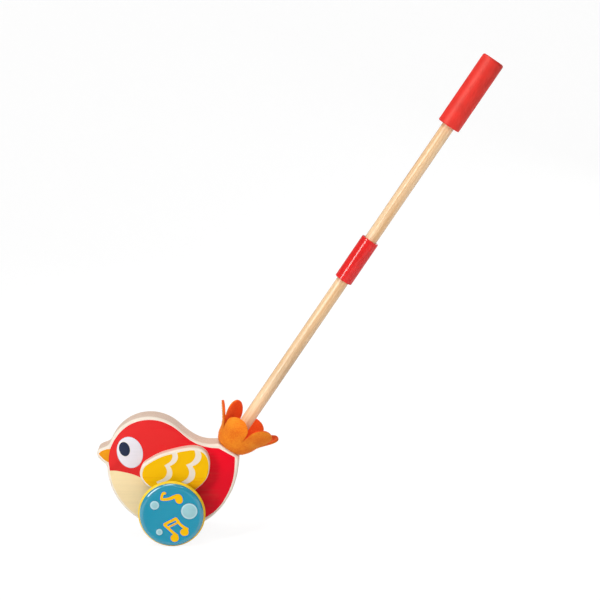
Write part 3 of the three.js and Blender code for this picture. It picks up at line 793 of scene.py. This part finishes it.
def on_axle(side, offset):
    """Turns a profile's axis outwards along the axle on one side, from an offset off the middle."""
    facing = Matrix.Rotation(math.radians(-90 if side > 0 else 90), 4, "X")
    return Matrix.Translation(Vector((axle_x, side * offset, axle_height)) * MM) @ facing


axle_bore = axle_radius + fit_gap
bore_edge = 0.3
axle_grip = 9.5
wheel_inside = 31.4
wheel_radius = 36.3
wheel_thickness = 14.5
wheel_round = 3.4
face_round = 4.8
tyre_radius = 3
tyre_proud = 1.9
tyre_offset = 7.3
tyre_middle = wheel_radius + tyre_proud - tyre_radius
groove = tyre_radius + fit_gap
groove_angle = math.degrees(math.acos((wheel_radius - tyre_middle) / groove))
wheel_profile = [
    (0, axle_grip), (axle_bore, axle_grip), (axle_bore, bore_edge), (axle_bore + bore_edge, 0),
    *rounded(wheel_radius - wheel_round, wheel_round, wheel_round, -90, 0),
    *rounded(tyre_middle, tyre_offset, groove, -groove_angle, groove_angle - 360, 20),
    *rounded(wheel_radius - face_round, wheel_thickness - wheel_round, face_round, 0, 90, 18, wheel_round),
    (0, wheel_thickness),
]
wheel_sides = 144
# The varnish is thick and glossy on the rounded rim, and thin on the printed face inside it.
varnish_from, varnish_full = 31.2 * MM, 32.8 * MM
wheel_blue = paint("wheel_blue", (4, 149, 180), 0.1, 0.45, (4, 147, 177), 0.000003)
tree = wheel_blue.node_tree
shader = tree.nodes["Principled BSDF"]
shader.inputs["Coat IOR"].default_value = 1.8
shader.inputs["Coat Roughness"].default_value = 0.06
off_axle = node(tree, "ShaderNodeVectorMath", {
    0: node(tree, "ShaderNodeTexCoord").outputs["Object"], 1: (axle_x * MM, 0, axle_height * MM)},
    operation="SUBTRACT").outputs[0]
reach = node(tree, "ShaderNodeVectorMath", {0: stretched(tree, off_axle, (1, 0, 1))}, operation="LENGTH")
tree.links.new(ramp(tree, reach.outputs["Value"], varnish_from, varnish_full), shader.inputs["Coat Weight"])
for side, sign in both_sides:
    turned(f"{side}_wheel_disc", wheel_profile, on_axle(sign, wheel_inside), wheel_blue, "wheels",
           "wheel_paint", f"{side}_wheel", wheel_sides)

dot_blue = paint("dot_blue", (163, 209, 215), 0.3, 0.2)
dot_rim = paint("dot_rim", (190, 223, 228), 0.3, 0.2)
dot_halo = paint("dot_halo", (20, 130, 160), 0.2, 0.3)
note_yellow = paint("note_yellow", (255, 198, 0), 0.34, 0.1)
note_halo = paint("note_halo", (0, 134, 216), 0.3, 0.05)
wheel_centre = np.array([0, axle_height])
note_spacing = 0.35
dots = [(20.3, 5, 9.2), (-18.8, 11.8, 5.1), (-13.8, -19.6, 3.7)]


def stroke(points, width, end_width=None):
    """A brush stroke along a line, with round ends, that can grow from one width to another."""
    line = curve_through(points, steps=10) if len(points) > 2 else np.array(points, float)
    along = np.gradient(line, axis=0)
    along /= np.hypot(*along.T)[:, None]
    half = np.linspace(width, end_width or width, len(line))[:, None] / 2
    across = np.column_stack([-along[:, 1], along[:, 0]]) * half
    turns = np.radians(np.linspace(90, -90, 10))[1:-1, None]
    end = line[-1] + np.cos(turns) * along[-1] * half[-1] + np.sin(turns) * across[-1]
    start = line[0] - np.cos(turns) * along[0] * half[0] - np.sin(turns) * across[0]
    return np.vstack([line + across, end, (line - across)[::-1], start])


def music_notes(extra):
    """One note with a flag, and two notes under a double beam, as overlapping outlines."""
    w = 2 * extra
    single = [stroke([(-6.85, 25.9), (-8.5, 26.2), (-10.05, 24), (-10.7, 21.05), (-10.8, 18.9)], 3 + w),
              stroke([(-10.8, 18.9), (-6.4, 18.7), (-1.3, 19.7), (3.4, 21.9), (7, 22.9)], 3 + w, 4.4 + w),
              oval(8.7, 19.3, 4.4 + extra, 5.9 + extra, 16)]
    pair = [stroke([(-7.7, -10.5), (5, -3.7)], 3.25 + w), stroke([(-2.6, -13.4), (6.7, -8.6)], 2.1 + w),
            stroke([(-7.5, -11.5), (3.4, -21.5), (6, -23.4)], 3.2 + w),
            stroke([(5.45, -4), (10.1, -10.5), (14.7, -14.2), (17.8, -15.8)], 3.1 + w),
            oval(3.5, -26.5, 4.8 + extra, 4.6 + extra, 0), oval(14.6, -19.6, 4.8 + extra, 4.5 + extra, 0)]
    return [single, pair]


def printed_notes(name, extra, lift, finish, face):
    """Each note's overlapping strokes are joined to one film, so that the print is one coat."""
    side = math.copysign(1, face)
    work = bmesh.new()
    for note in music_notes(extra):
        solids = []
        for loop in note:
            loop = evened(loop, note_spacing) + wheel_centre
            solids.append(stacked("stroke", [at_depth(loop, face - side * print_root),
                                             at_depth(loop, face + side * lift)], finish))
        film = shaped(solids[0], solids[1:], "UNION")
        work.from_mesh(film.data)
        bpy.data.objects.remove(film)
    mesh = bpy.data.meshes.new(name)
    work.to_mesh(mesh)
    work.free()
    mesh.materials.append(finish)
    made = linked(name, mesh)
    tidy(made)
    belongs(made, "wheels", "wheel_paint")


for side, sign in both_sides:
    face = sign * (wheel_inside + wheel_thickness)
    for name, grow, lift, finish in (("halos", 0.7, 0.02, dot_halo), ("rims", 0, 0.035, dot_rim),
                                     ("middles", -1.6, 0.05, dot_blue)):
        rounds = [oval(x, z, r + grow, r + grow, 0) for x, z, r in dots]
        print_film(f"{side}_dot_{name}", rounds, face, lift, finish, "wheels", "wheel_paint", 0.01, 0.4,
                   wheel_centre)
    printed_notes(f"{side}_note_halos", 1.05, 0.045, note_halo, face)
    printed_notes(f"{side}_notes", 0, 0.07, note_yellow, face)


# Tyres: moulded rings of yellow rubber, stretched into the groove round each wheel.
# They stand a little proud of the wood, so that the toy rolls on rubber alone.
def moulded_group():
    """A moulded surface: its gloss is broken by fine peel, faint scuffs and a little dust."""
    tree, given, out = effect_group("moulded", {
        "Tint": ("Color", None), "Shade": ("Color", None), "Gloss": ("Float", 0.3), "Scuffs": ("Float", 0.2)})
    cloud = noise(tree, given["Vector"], 60.0, 3.0)
    peel = noise(tree, given["Vector"], 1100.0, 2.0)
    scratches = noise(tree, stretched(tree, given["Vector"], (900, 90, 300)), 1.0, 2.0, 0.7)
    scratch = ramp(tree, scratches, 0.62, 0.7)
    worn = times(tree, plus(tree, scratch, cloud), times(tree, given["Scuffs"], 0.4))
    return gives(tree, out, Color=mixed(tree, ramp(tree, cloud, 0.35, 0.7), given["Tint"], given["Shade"]),
                 Height=minus(tree, peel, times(tree, scratch, given["Scuffs"])),
                 Roughness=plus(tree, given["Gloss"], worn))


moulded = moulded_group()


def moulding(name, rgb, gloss, scuffs, bump_depth, **values):
    made, tree, shader = material(name, **values)
    surfaced(tree, shader, moulded, {"Tint": colour(*rgb), "Shade": colour(*[c * 0.95 for c in rgb]),
                                     "Gloss": gloss, "Scuffs": scuffs}, bump_depth)
    return made


tyre_rubber = moulding("tyre_rubber", (255, 211, 28), 0.5, 0.35, 0.00006, Specular_IOR_Level=0.4)
tyre_profile = rounded(tyre_middle, 0, tyre_radius, 180, 540, 48)
for side, sign in both_sides:
    turned(f"{side}_tyre_ring", tyre_profile, on_axle(sign, wheel_inside + tyre_offset), tyre_rubber,
           "wheels", "tyre_rubber", f"{side}_tyre", wheel_sides)


# Axle: a drawn steel rod, pressed blind into both wheels. It turns in two flanged bushes of pale
# nylon in the face boards, and a nylon tube on each side keeps the wheel off the wing.
axle_steel, tree, shader = material("axle_steel", Metallic=1.0)
surfaced(tree, shader, moulded, {"Tint": colour(196, 198, 202), "Shade": colour(170, 172, 176),
                                 "Gloss": 0.28, "Scuffs": 0.5}, 0.00003)
axle_sides = 48
axle_chamfer = 0.6
axle_length = 2 * (wheel_inside + axle_grip - fit_gap)
axle_profile = [(0, 0), (axle_radius - axle_chamfer, 0), (axle_radius, axle_chamfer),
                (axle_radius, axle_length - axle_chamfer), (axle_radius - axle_chamfer, axle_length),
                (0, axle_length)]
turned("axle_rod", axle_profile, on_axle(1, -axle_length / 2), axle_steel, "wheels", "steel", "axle",
       axle_sides)


def tube(inner, outer, start, end, chamfer):
    """The profile of a tube with all four of its corners broken."""
    return [(inner + chamfer, start), (outer - chamfer, start), (outer, start + chamfer),
            (outer, end - chamfer), (outer - chamfer, end), (inner + chamfer, end), (inner, end - chamfer),
            (inner, start + chamfer), (inner + chamfer, start)]


nylon = moulding("pale_nylon", (236, 231, 221), 0.42, 0.3, 0.00006, Subsurface_Weight=0.08,
                 Subsurface_Scale=0.002)
flange_radius, flange_thickness, flange_chamfer = 7.7, 1.2, 0.3
flange_start = body_half - core_half + fit_gap
flange_end = flange_start + flange_thickness
bush_profile = [
    (axle_bore, 0), (axle_bore + bush_wall, 0), (axle_bore + bush_wall, flange_start),
    *tube(axle_bore, flange_radius, flange_start, flange_end, flange_chamfer)[1:7], (axle_bore, 0),
]
spacer_radius, spacer_chamfer = 5.5, 0.2
spacer_start = core_half + flange_end + fit_gap
spacer_length = wheel_inside - fit_gap - spacer_start
spacer_profile = tube(axle_bore, spacer_radius, 0, spacer_length, spacer_chamfer)
for side, sign in both_sides:
    turned(f"{side}_bush_ring", bush_profile, on_axle(sign, core_half), nylon, "bird", "pale_plastic",
           f"{side}_bush", axle_sides)
    turned(f"{side}_spacer_tube", spacer_profile, on_axle(sign, spacer_start), nylon, "wheels",
           "pale_plastic", f"{side}_spacer", axle_sides)


# Clicker: inside the bird a toothed wheel on the axle flicks a nylon reed, which a steel pin holds.
# It keeps its solids from the frame, as do the dowels that pin the wings.
def finished(name, finish):
    """Gives a piece of the frame its finish."""
    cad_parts[name].data.materials.clear()
    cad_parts[name].data.materials.append(finish)


for name in ("click_wheel", "click_reed"):
    finished(name, nylon)
finished("reed_pin", axle_steel)


# Handle: a pale wooden dowel in two lengths, turned smooth and lacquered, so that it has a soft
# streak of light. Its foot is glued into the seat of the body and its grain runs along it.
def handle_place(offset):
    turn = Matrix.Rotation(math.pi / 2 - lean, 4, "Y")
    return Matrix.Translation(Vector(seat_point + offset * handle_along) * MM) @ turn


dowel_wood, tree, shader = material("dowel_wood", Specular_IOR_Level=0.3, Coat_Weight=0.8, Coat_Roughness=0.2)
straight = node(tree, "ShaderNodeMapping", {
    "Vector": node(tree, "ShaderNodeTexCoord").outputs["Object"], "Rotation": (0, lean, 0)})
surfaced(tree, shader, wood_grain, {"Light": colour(240, 206, 164), "Dark": colour(222, 174, 122),
                                    "Pores": 0.2}, 0.000003, straight.outputs["Vector"])

pin_wood, tree, shader = material("pin_wood", Specular_IOR_Level=0.3)
surfaced(tree, shader, wood_grain, {"Light": colour(240, 212, 170), "Dark": colour(220, 178, 128),
                                    "Pores": 0.5}, 0.00008)
for side in ("left", "right"):
    for end in ("front", "rear"):
        finished(f"{side}_wing_{end}_dowel", pin_wood)

dowel_round = 0.8
dowel_sides = 72
collar_start, collar_length, collar_web = 234.1, 55, 2
upper_stretch = 154.1
grip_start, grip_length, grip_top = collar_start + collar_length + upper_stretch, 88.5, 7
collar_middle = collar_start + collar_length / 2


def peg(length):
    """The profile of a dowel, rounded over at both ends."""
    middle = dowel_radius - dowel_round
    return [(0, 0), *rounded(middle, dowel_round, dowel_round, -90, 0, 4),
            *rounded(middle, length - dowel_round, dowel_round, 0, 90, 4), (0, length)]


lower_start = fit_gap - socket_depth
lower_length = collar_middle - collar_web / 2 - fit_gap - lower_start
turned("lower_handle", peg(lower_length), handle_place(lower_start), dowel_wood, "bird", "handle_wood",
       "lower_dowel", dowel_sides)
upper_start = collar_middle + collar_web / 2 + fit_gap
upper_length = grip_start + grip_length - grip_top - fit_gap - upper_start
turned("upper_handle", peg(upper_length), handle_place(upper_start), dowel_wood, "handle_end", "handle_wood",
       "upper_dowel", dowel_sides)


# Collar and grip: red plastic mouldings. The collar joins the two lengths and is glossy; the grip
# is a thick sleeve with a closed, rounded top and a softer satin, worn a little by hands.
bore = dowel_radius + fit_gap
collar_radius, collar_lip, collar_round = bore + 3, 0.4, 0.9
grip_radius, grip_lip, grip_mouth, grip_round = bore + 5.8, 0.6, 1.2, 2.6


def sleeve_end(floor, lip, radius, corner):
    """The profile of a sleeve's open end, from the floor of its bore out to its side."""
    return [(0, floor), (bore, floor), (bore, lip), *rounded(bore + lip, lip, lip, 180, 270, 3),
            *rounded(radius - corner, corner, corner, -90, 0, 6)]


collar_end = sleeve_end((collar_length - collar_web) / 2, collar_lip, collar_radius, collar_round)
collar_profile = [*collar_end, *[(r, collar_length - t) for r, t in reversed(collar_end)]]
collar_plastic = moulding("collar_plastic", (228, 34, 32), 0.17, 0.01, 0.0000005, Specular_IOR_Level=0.5)
turned("collar_sleeve", collar_profile, handle_place(collar_start), collar_plastic, "bird",
       "collar_plastic", "collar")

grip_profile = [
    *sleeve_end(grip_length - grip_top, grip_lip, grip_radius, grip_mouth),
    *rounded(grip_radius - grip_round, grip_length - grip_round, grip_round, 0, 90), (0, grip_length),
]
grip_plastic = moulding("grip_plastic", (230, 38, 30), 0.48, 0.1, 0.00001, Specular_IOR_Level=0.7,
                        Specular_Tint=colour(255, 232, 214))
turned("grip_sleeve", grip_profile, handle_place(grip_start), grip_plastic, "handle_end", "grip_plastic",
       "grip")


# Tail: two cups of wool felt, orange outside and red inside, each cut into six petals and pushed
# down the dowel on to the seat, where they are glued. The petals flare out, each its own way.
def felt_group():
    """Pressed wool: matted fibres in two sizes, with a slow drift of tone."""
    tree, given, out = effect_group("wool_felt", {"Wool": ("Color", None), "Shaded Wool": ("Color", None)})
    drift = noise(tree, given["Vector"], 55.0, 2.0)
    clumps = noise(tree, given["Vector"], 650.0, 4.0, 0.7)
    twisted = node(tree, "ShaderNodeTexNoise", {"Vector": given["Vector"], "Scale": 1400.0, "Detail": 3.0,
                                                "Roughness": 0.7, "Distortion": 2.5}).outputs["Fac"]
    tone = ramp(tree, blended(tree, clumps, 0.6, drift), 0.4, 0.62)
    return gives(tree, out, Color=mixed(tree, tone, given["Shaded Wool"], given["Wool"]),
                 Height=blended(tree, clumps, 0.6, twisted),
                 Roughness=maths(tree, "MULTIPLY_ADD", clumps, 0.1, 0.86))


wool_felt = felt_group()


def felt(name, rgb, shaded):
    made, tree, shader = material(name, Specular_IOR_Level=0.12, Sheen_Weight=0.4, Sheen_Roughness=0.4,
                                  Sheen_Tint=colour(255, 200, 130))
    surfaced(tree, shader, wool_felt, {"Wool": colour(*rgb), "Shaded Wool": colour(*shaded)}, 0.00035)
    return made


outer_wool = felt("orange_wool", (240, 144, 37), (228, 110, 23))
inner_wool = felt("red_wool", (248, 100, 38), (240, 74, 25))

felt_thickness = 1
rim_bulge = 0.012
petal_bulge = 0.17
petal_narrowing = 0.093
petal_flattening = 0.24
petal_rows = 54
cup_row = 36
petal_columns = 26
tail_reach = 37
tail_rise = 39.5
felt_hole = dowel_radius + 2 * fit_gap
shoulder = 0.7
joined = shoulder * cup_row / petal_rows
petal_line = curve_through([(felt_hole + out * (tail_reach - felt_hole), up * tail_rise) for out, up in
                            [(0, 0), (0.24, 0.01), (0.4, 0.19), (0.5, 0.47), (0.68, 0.7), (1, 1)]], steps=40)
petal_lengths = np.concatenate([[0], np.cumsum(np.hypot(*np.diff(petal_line, axis=0).T))])
petal_lengths /= petal_lengths[-1]
# Each petal's start in degrees round the handle, how much further it leans out and rises than the
# plain cup, its twist to the side in degrees, and how broad it opens.
Petal = namedtuple("Petal", "start lean rise twist breadth")
petals = [
    Petal(-23, 0.01, 0.045, -4, 0.94), Petal(34, -0.32, 0.02, 4, 1.12), Petal(104, 0.145, 0.165, -7, 1.09),
    Petal(158, 0.16, -0.035, 2, 0.97), Petal(213, -0.035, -0.045, 2, 0.95), Petal(275, -0.2, 0.195, 4, 1.01),
]


def petal_side(share, angle, petal):
    """The side view of a petal in its own pose, as the reach and rise at a share of its length."""
    free = max(0, share - joined) / (1 - joined)
    bulge = petal_bulge * math.sin(math.pi * share**1.5) * (1 - math.cos(angle)) / 2
    out, up = (np.interp(share, petal_lengths, petal_line[:, k]) for k in (0, 1))
    return np.array([out + (petal.lean * free**2 + bulge) * tail_reach,
                     up + petal.rise * free**2 * tail_rise])


def felt_point(share, middle, aside, petal, offset):
    """A point of the felt in the handle's frame, offset square to the petal's side view.

    The freer a petal, the flatter it lies to both sides of its middle.
    """
    step, angle = max(share, 0.01), middle + aside
    free = max(0, share - joined) / (1 - joined)
    slope = petal_side(step, angle, petal) - petal_side(step - 0.01, angle, petal)
    slope /= np.hypot(*slope)
    out, up = petal_side(share, angle, petal) + offset * np.array([-slope[1], slope[0]])
    out /= 1 - petal_flattening * free * (1 - math.cos(aside))
    bearing = angle + math.radians(petal.twist) * free**2
    return (-out * math.cos(bearing), -out * math.sin(bearing), up)


def felt_cup(name, first_offset, finish, replaced):
    """A closed sheet: two faces of rows and columns for each petal, and a soft rim where it ends."""
    verts, faces = [], []
    ends = [*[petal.start for petal in petals[1:]], petals[0].start + 360]

    def face_of(petal, end, offset, grow):
        rows = []
        middle, half = math.radians((petal.start + end) / 2), math.radians((end - petal.start) / 2)
        for row in range(petal_rows + 1):
            share_of_row = row / petal_rows
            free = max(0, row - cup_row) / (petal_rows - cup_row)
            opened = 1 + (petal.breadth - 1) * math.sqrt(free)
            narrowed = half * (1 - petal_narrowing * (free + math.sqrt(free)))
            spread = narrowed * opened + grow * (free > 0)
            line = []
            for column in range(petal_columns + 1):
                across = math.sin(math.pi / 2 * (2 * column / petal_columns - 1))
                tip = math.sqrt(max(0, 1 - across**2)) * share_of_row
                share = share_of_row * (shoulder + (1 - shoulder) * tip) + grow * 0.3 * (row == petal_rows)
                line.append(len(verts))
                verts.append(felt_point(min(share, 1), middle, across * spread, petal, offset))
            rows.append(line)
        return rows

    for petal, end in zip(petals, ends):
        outside = face_of(petal, end, first_offset, 0)
        rim = face_of(petal, end, first_offset + felt_thickness / 2, rim_bulge)
        inside = face_of(petal, end, first_offset + felt_thickness, 0)
        for row in range(petal_rows):
            for column in range(petal_columns):
                r, c = row + 1, column + 1
                faces.append((outside[row][column], outside[row][c], outside[r][c], outside[r][column]))
                faces.append((inside[row][column], inside[r][column], inside[r][c], inside[row][c]))
            if row >= cup_row:
                for a, b in ((outside, rim), (rim, inside)):
                    faces.append((a[row][0], a[row + 1][0], b[row + 1][0], b[row][0]))
                    faces.append((a[row][-1], b[row][-1], b[row + 1][-1], a[row + 1][-1]))
        for column in range(petal_columns):
            c = column + 1
            for a, b in ((outside, rim), (rim, inside)):
                faces.append((a[0][column], b[0][column], b[0][c], a[0][c]))
                faces.append((a[-1][column], a[-1][c], b[-1][c], b[-1][column]))
    place = handle_place(fit_gap)
    points = [np.array(place @ (Vector(v) * MM)) / MM for v in verts]
    made = piece(name, points, faces, finish, 80)
    work = bmesh.new()
    work.from_mesh(made.data)
    bmesh.ops.delete(work, geom=[v for v in work.verts if not v.link_faces], context="VERTS")
    work.to_mesh(made.data)
    work.free()
    belongs(made, "bird", name, replaced)
    return made


def fuzz_tree():
    """Short loose fibres over a felt: bent hairs at random places, turned and scaled at random."""
    tree = bpy.data.node_groups.new("felt_fuzz", "GeometryNodeTree")
    given, out = sockets(tree, {"Felt": ("Geometry", None), "Density": ("Float", 400000.0),
                                "Seed": ("Int", 7), "Length": ("Float", 0.0011),
                                "Thickness": ("Float", 0.00003), "Finish": ("Material", None)},
                         {"Geometry": "Geometry"})
    spots = node(tree, "GeometryNodeDistributePointsOnFaces", {
        "Mesh": given["Felt"], "Density": given["Density"], "Seed": given["Seed"]})
    high = node(tree, "ShaderNodeCombineXYZ", {"X": times(tree, given["Length"], 0.1),
                                               "Z": times(tree, given["Length"], 0.6)})
    far = node(tree, "ShaderNodeCombineXYZ", {"X": times(tree, given["Length"], 0.8),
                                              "Z": times(tree, given["Length"], 0.45)})
    hair = node(tree, "GeometryNodeCurveQuadraticBezier", {
        "Resolution": 4, "Start": (0, 0, 0), "Middle": high.outputs["Vector"], "End": far.outputs["Vector"]})
    ring = node(tree, "GeometryNodeCurvePrimitiveCircle", {"Resolution": 3, "Radius": given["Thickness"]})
    strand = node(tree, "GeometryNodeCurveToMesh", {"Curve": hair.outputs["Curve"],
                                                    "Profile Curve": ring.outputs["Curve"]})
    spin = node(tree, "FunctionNodeRandomValue", {"Seed": given["Seed"]}, data_type="FLOAT").outputs["Value"]
    about = node(tree, "ShaderNodeCombineXYZ", {"Z": times(tree, spin, 2 * math.pi)})
    turn = node(tree, "FunctionNodeEulerToRotation", {"Euler": about.outputs["Vector"]})
    whole = node(tree, "FunctionNodeRotateRotation", {
        "Rotation": spots.outputs["Rotation"], "Rotate By": turn.outputs["Rotation"]}, rotation_space="LOCAL")
    next_seed = plus(tree, given["Seed"], 3.0)
    size = node(tree, "FunctionNodeRandomValue", {"Seed": next_seed}, data_type="FLOAT").outputs["Value"]
    laid = node(tree, "GeometryNodeInstanceOnPoints", {
        "Points": spots.outputs["Points"], "Instance": strand.outputs["Mesh"],
        "Rotation": whole.outputs["Rotation"], "Scale": maths(tree, "MULTIPLY_ADD", size, 0.9, 0.45)})
    return real_mesh(tree, laid.outputs["Instances"], given["Finish"], out)


felt_fuzz = fuzz_tree()
for name, offset, finish, replaced, seed, flat, rests_on in (
    ("outer_felt", 0, outer_wool, "tail_felt_outer", 7, (0.124, 0.109),
     ["bird_core", "left_face", "right_face"]),
    ("inner_felt", felt_thickness + fit_gap, inner_wool, "tail_felt_inner", 23, (0.121, 0.106),
     ["outer_felt"]),
):
    cup = felt_cup(name, offset, finish, replaced)
    hairs = made_by(felt_fuzz, f"{name}_fuzz", cup.data.copy(), {"Seed": seed, "Finish": finish})
    fuzz = linked(f"{name}_fuzz", hairs)
    belongs(fuzz, "bird", name)


# Studio: a white sweep for a floor. A tall soft lamp stands high in front on the left, with a long
# strip and a square lamp above, a weak fill on the right and a lamp behind, in a pale room. Narrow
# beams open the shade of the tail and of the handle. The floor keeps a faint shadow.
floor_white, tree, shader = material("floor_white", Roughness=0.9, Specular_IOR_Level=0.1)
shader.inputs["Base Color"].default_value = (0.86, 0.86, 0.86, 1)
light_path = node(tree, "ShaderNodeLightPath")
glow = node(tree, "ShaderNodeEmission", {"Color": (1, 1, 1, 1), "Strength": 1.12})
seen = times(tree, light_path.outputs["Is Camera Ray"], 0.8)
blend = node(tree, "ShaderNodeMixShader", {0: seen, 1: shader.outputs["BSDF"], 2: glow.outputs["Emission"]})
tree.links.new(blend.outputs["Shader"], tree.nodes["Material Output"].inputs["Surface"])

floor_half, bend_start, bend_radius, wall_top = 16, 2, 1.2, 6
sweep = [(-floor_half, 0),
         *[(bend_start + bend_radius * math.sin(a), bend_radius * (1 - math.cos(a)))
           for a in np.radians(np.linspace(0, 90, 24))],
         (bend_start + bend_radius, wall_top)]
floor_mesh = bpy.data.meshes.new("floor")
floor_mesh.from_pydata([(x, y, z) for y, z in sweep for x in (-floor_half, floor_half)], [],
                       [(2 * i, 2 * i + 1, 2 * i + 3, 2 * i + 2) for i in range(len(sweep) - 1)])
floor_mesh.shade_smooth()
floor_mesh.materials.append(floor_white)
floor = linked("floor", floor_mesh)


def lamp(name, kind, place, aim, power, **settings):
    """A lamp at a place in metres, turned to its aim."""
    data = bpy.data.lights.new(name, kind)
    data.energy = power
    for key, value in settings.items():
        setattr(data, key, value)
    made = linked(name, data)
    made.location = place
    made.rotation_euler = (Vector(aim) - Vector(place)).to_track_quat("-Z", "Y").to_euler()
    return made


for name, place, aim, width, height, power in (
    ("key", (-1.72, -1.78, 1.25), (-0.05, 0, 0.2), 0.45, 1.5, 33),
    ("strip", (-0.3, -1.8, 1.85), (-0.05, 0, 0.15), 2.4, 0.1, 8),
    ("top", (-0.5, -0.35, 2.4), (0, 0, 0.15), 1, 1, 21),
    ("fill", (1.5, -1.6, 0.35), (0, 0, 0.2), 1.2, 0.6, 2.5),
    ("back", (1.2, 1.9, 1), (0, 0, 0.2), 1.2, 1.2, 17),
):
    lamp(name, "AREA", place, aim, power, shape="RECTANGLE", size=width, size_y=height)

for name, place, aim, angle, power, in_highlights in (
    ("tail_snoot", (0.45, -1.75, 0.8), (-0.076, 0.03, 0.152), 2.1, 64, True),
    ("tail_low_snoot", (1.3, -1.6, 0.1), (-0.045, -0.02, 0.118), 2.4, 28, False),
    ("handle_snoot", (1.7, -1.5, 0.6), (0.12, 0, 0.38), 10, 45, False),
):
    beam = lamp(name, "SPOT", place, aim, power, spot_size=math.radians(angle), spot_blend=0.7,
                shadow_soft_size=0.02)
    beam.visible_glossy = in_highlights

world = bpy.data.worlds.new("room")
world.use_nodes = True
bpy.context.scene.world = world
tree = world.node_tree
room = tree.nodes["Background"]
room.inputs["Color"].default_value = (1, 1, 1, 1)
path = node(tree, "ShaderNodeLightPath")
plain = maths(tree, "MAXIMUM", path.outputs["Is Camera Ray"], path.outputs["Is Transmission Ray"])
tree.links.new(maths(tree, "MULTIPLY_ADD", plain, 0.8, 0.2), room.inputs["Strength"])
bpy.context.scene.view_settings.view_transform = "Standard"
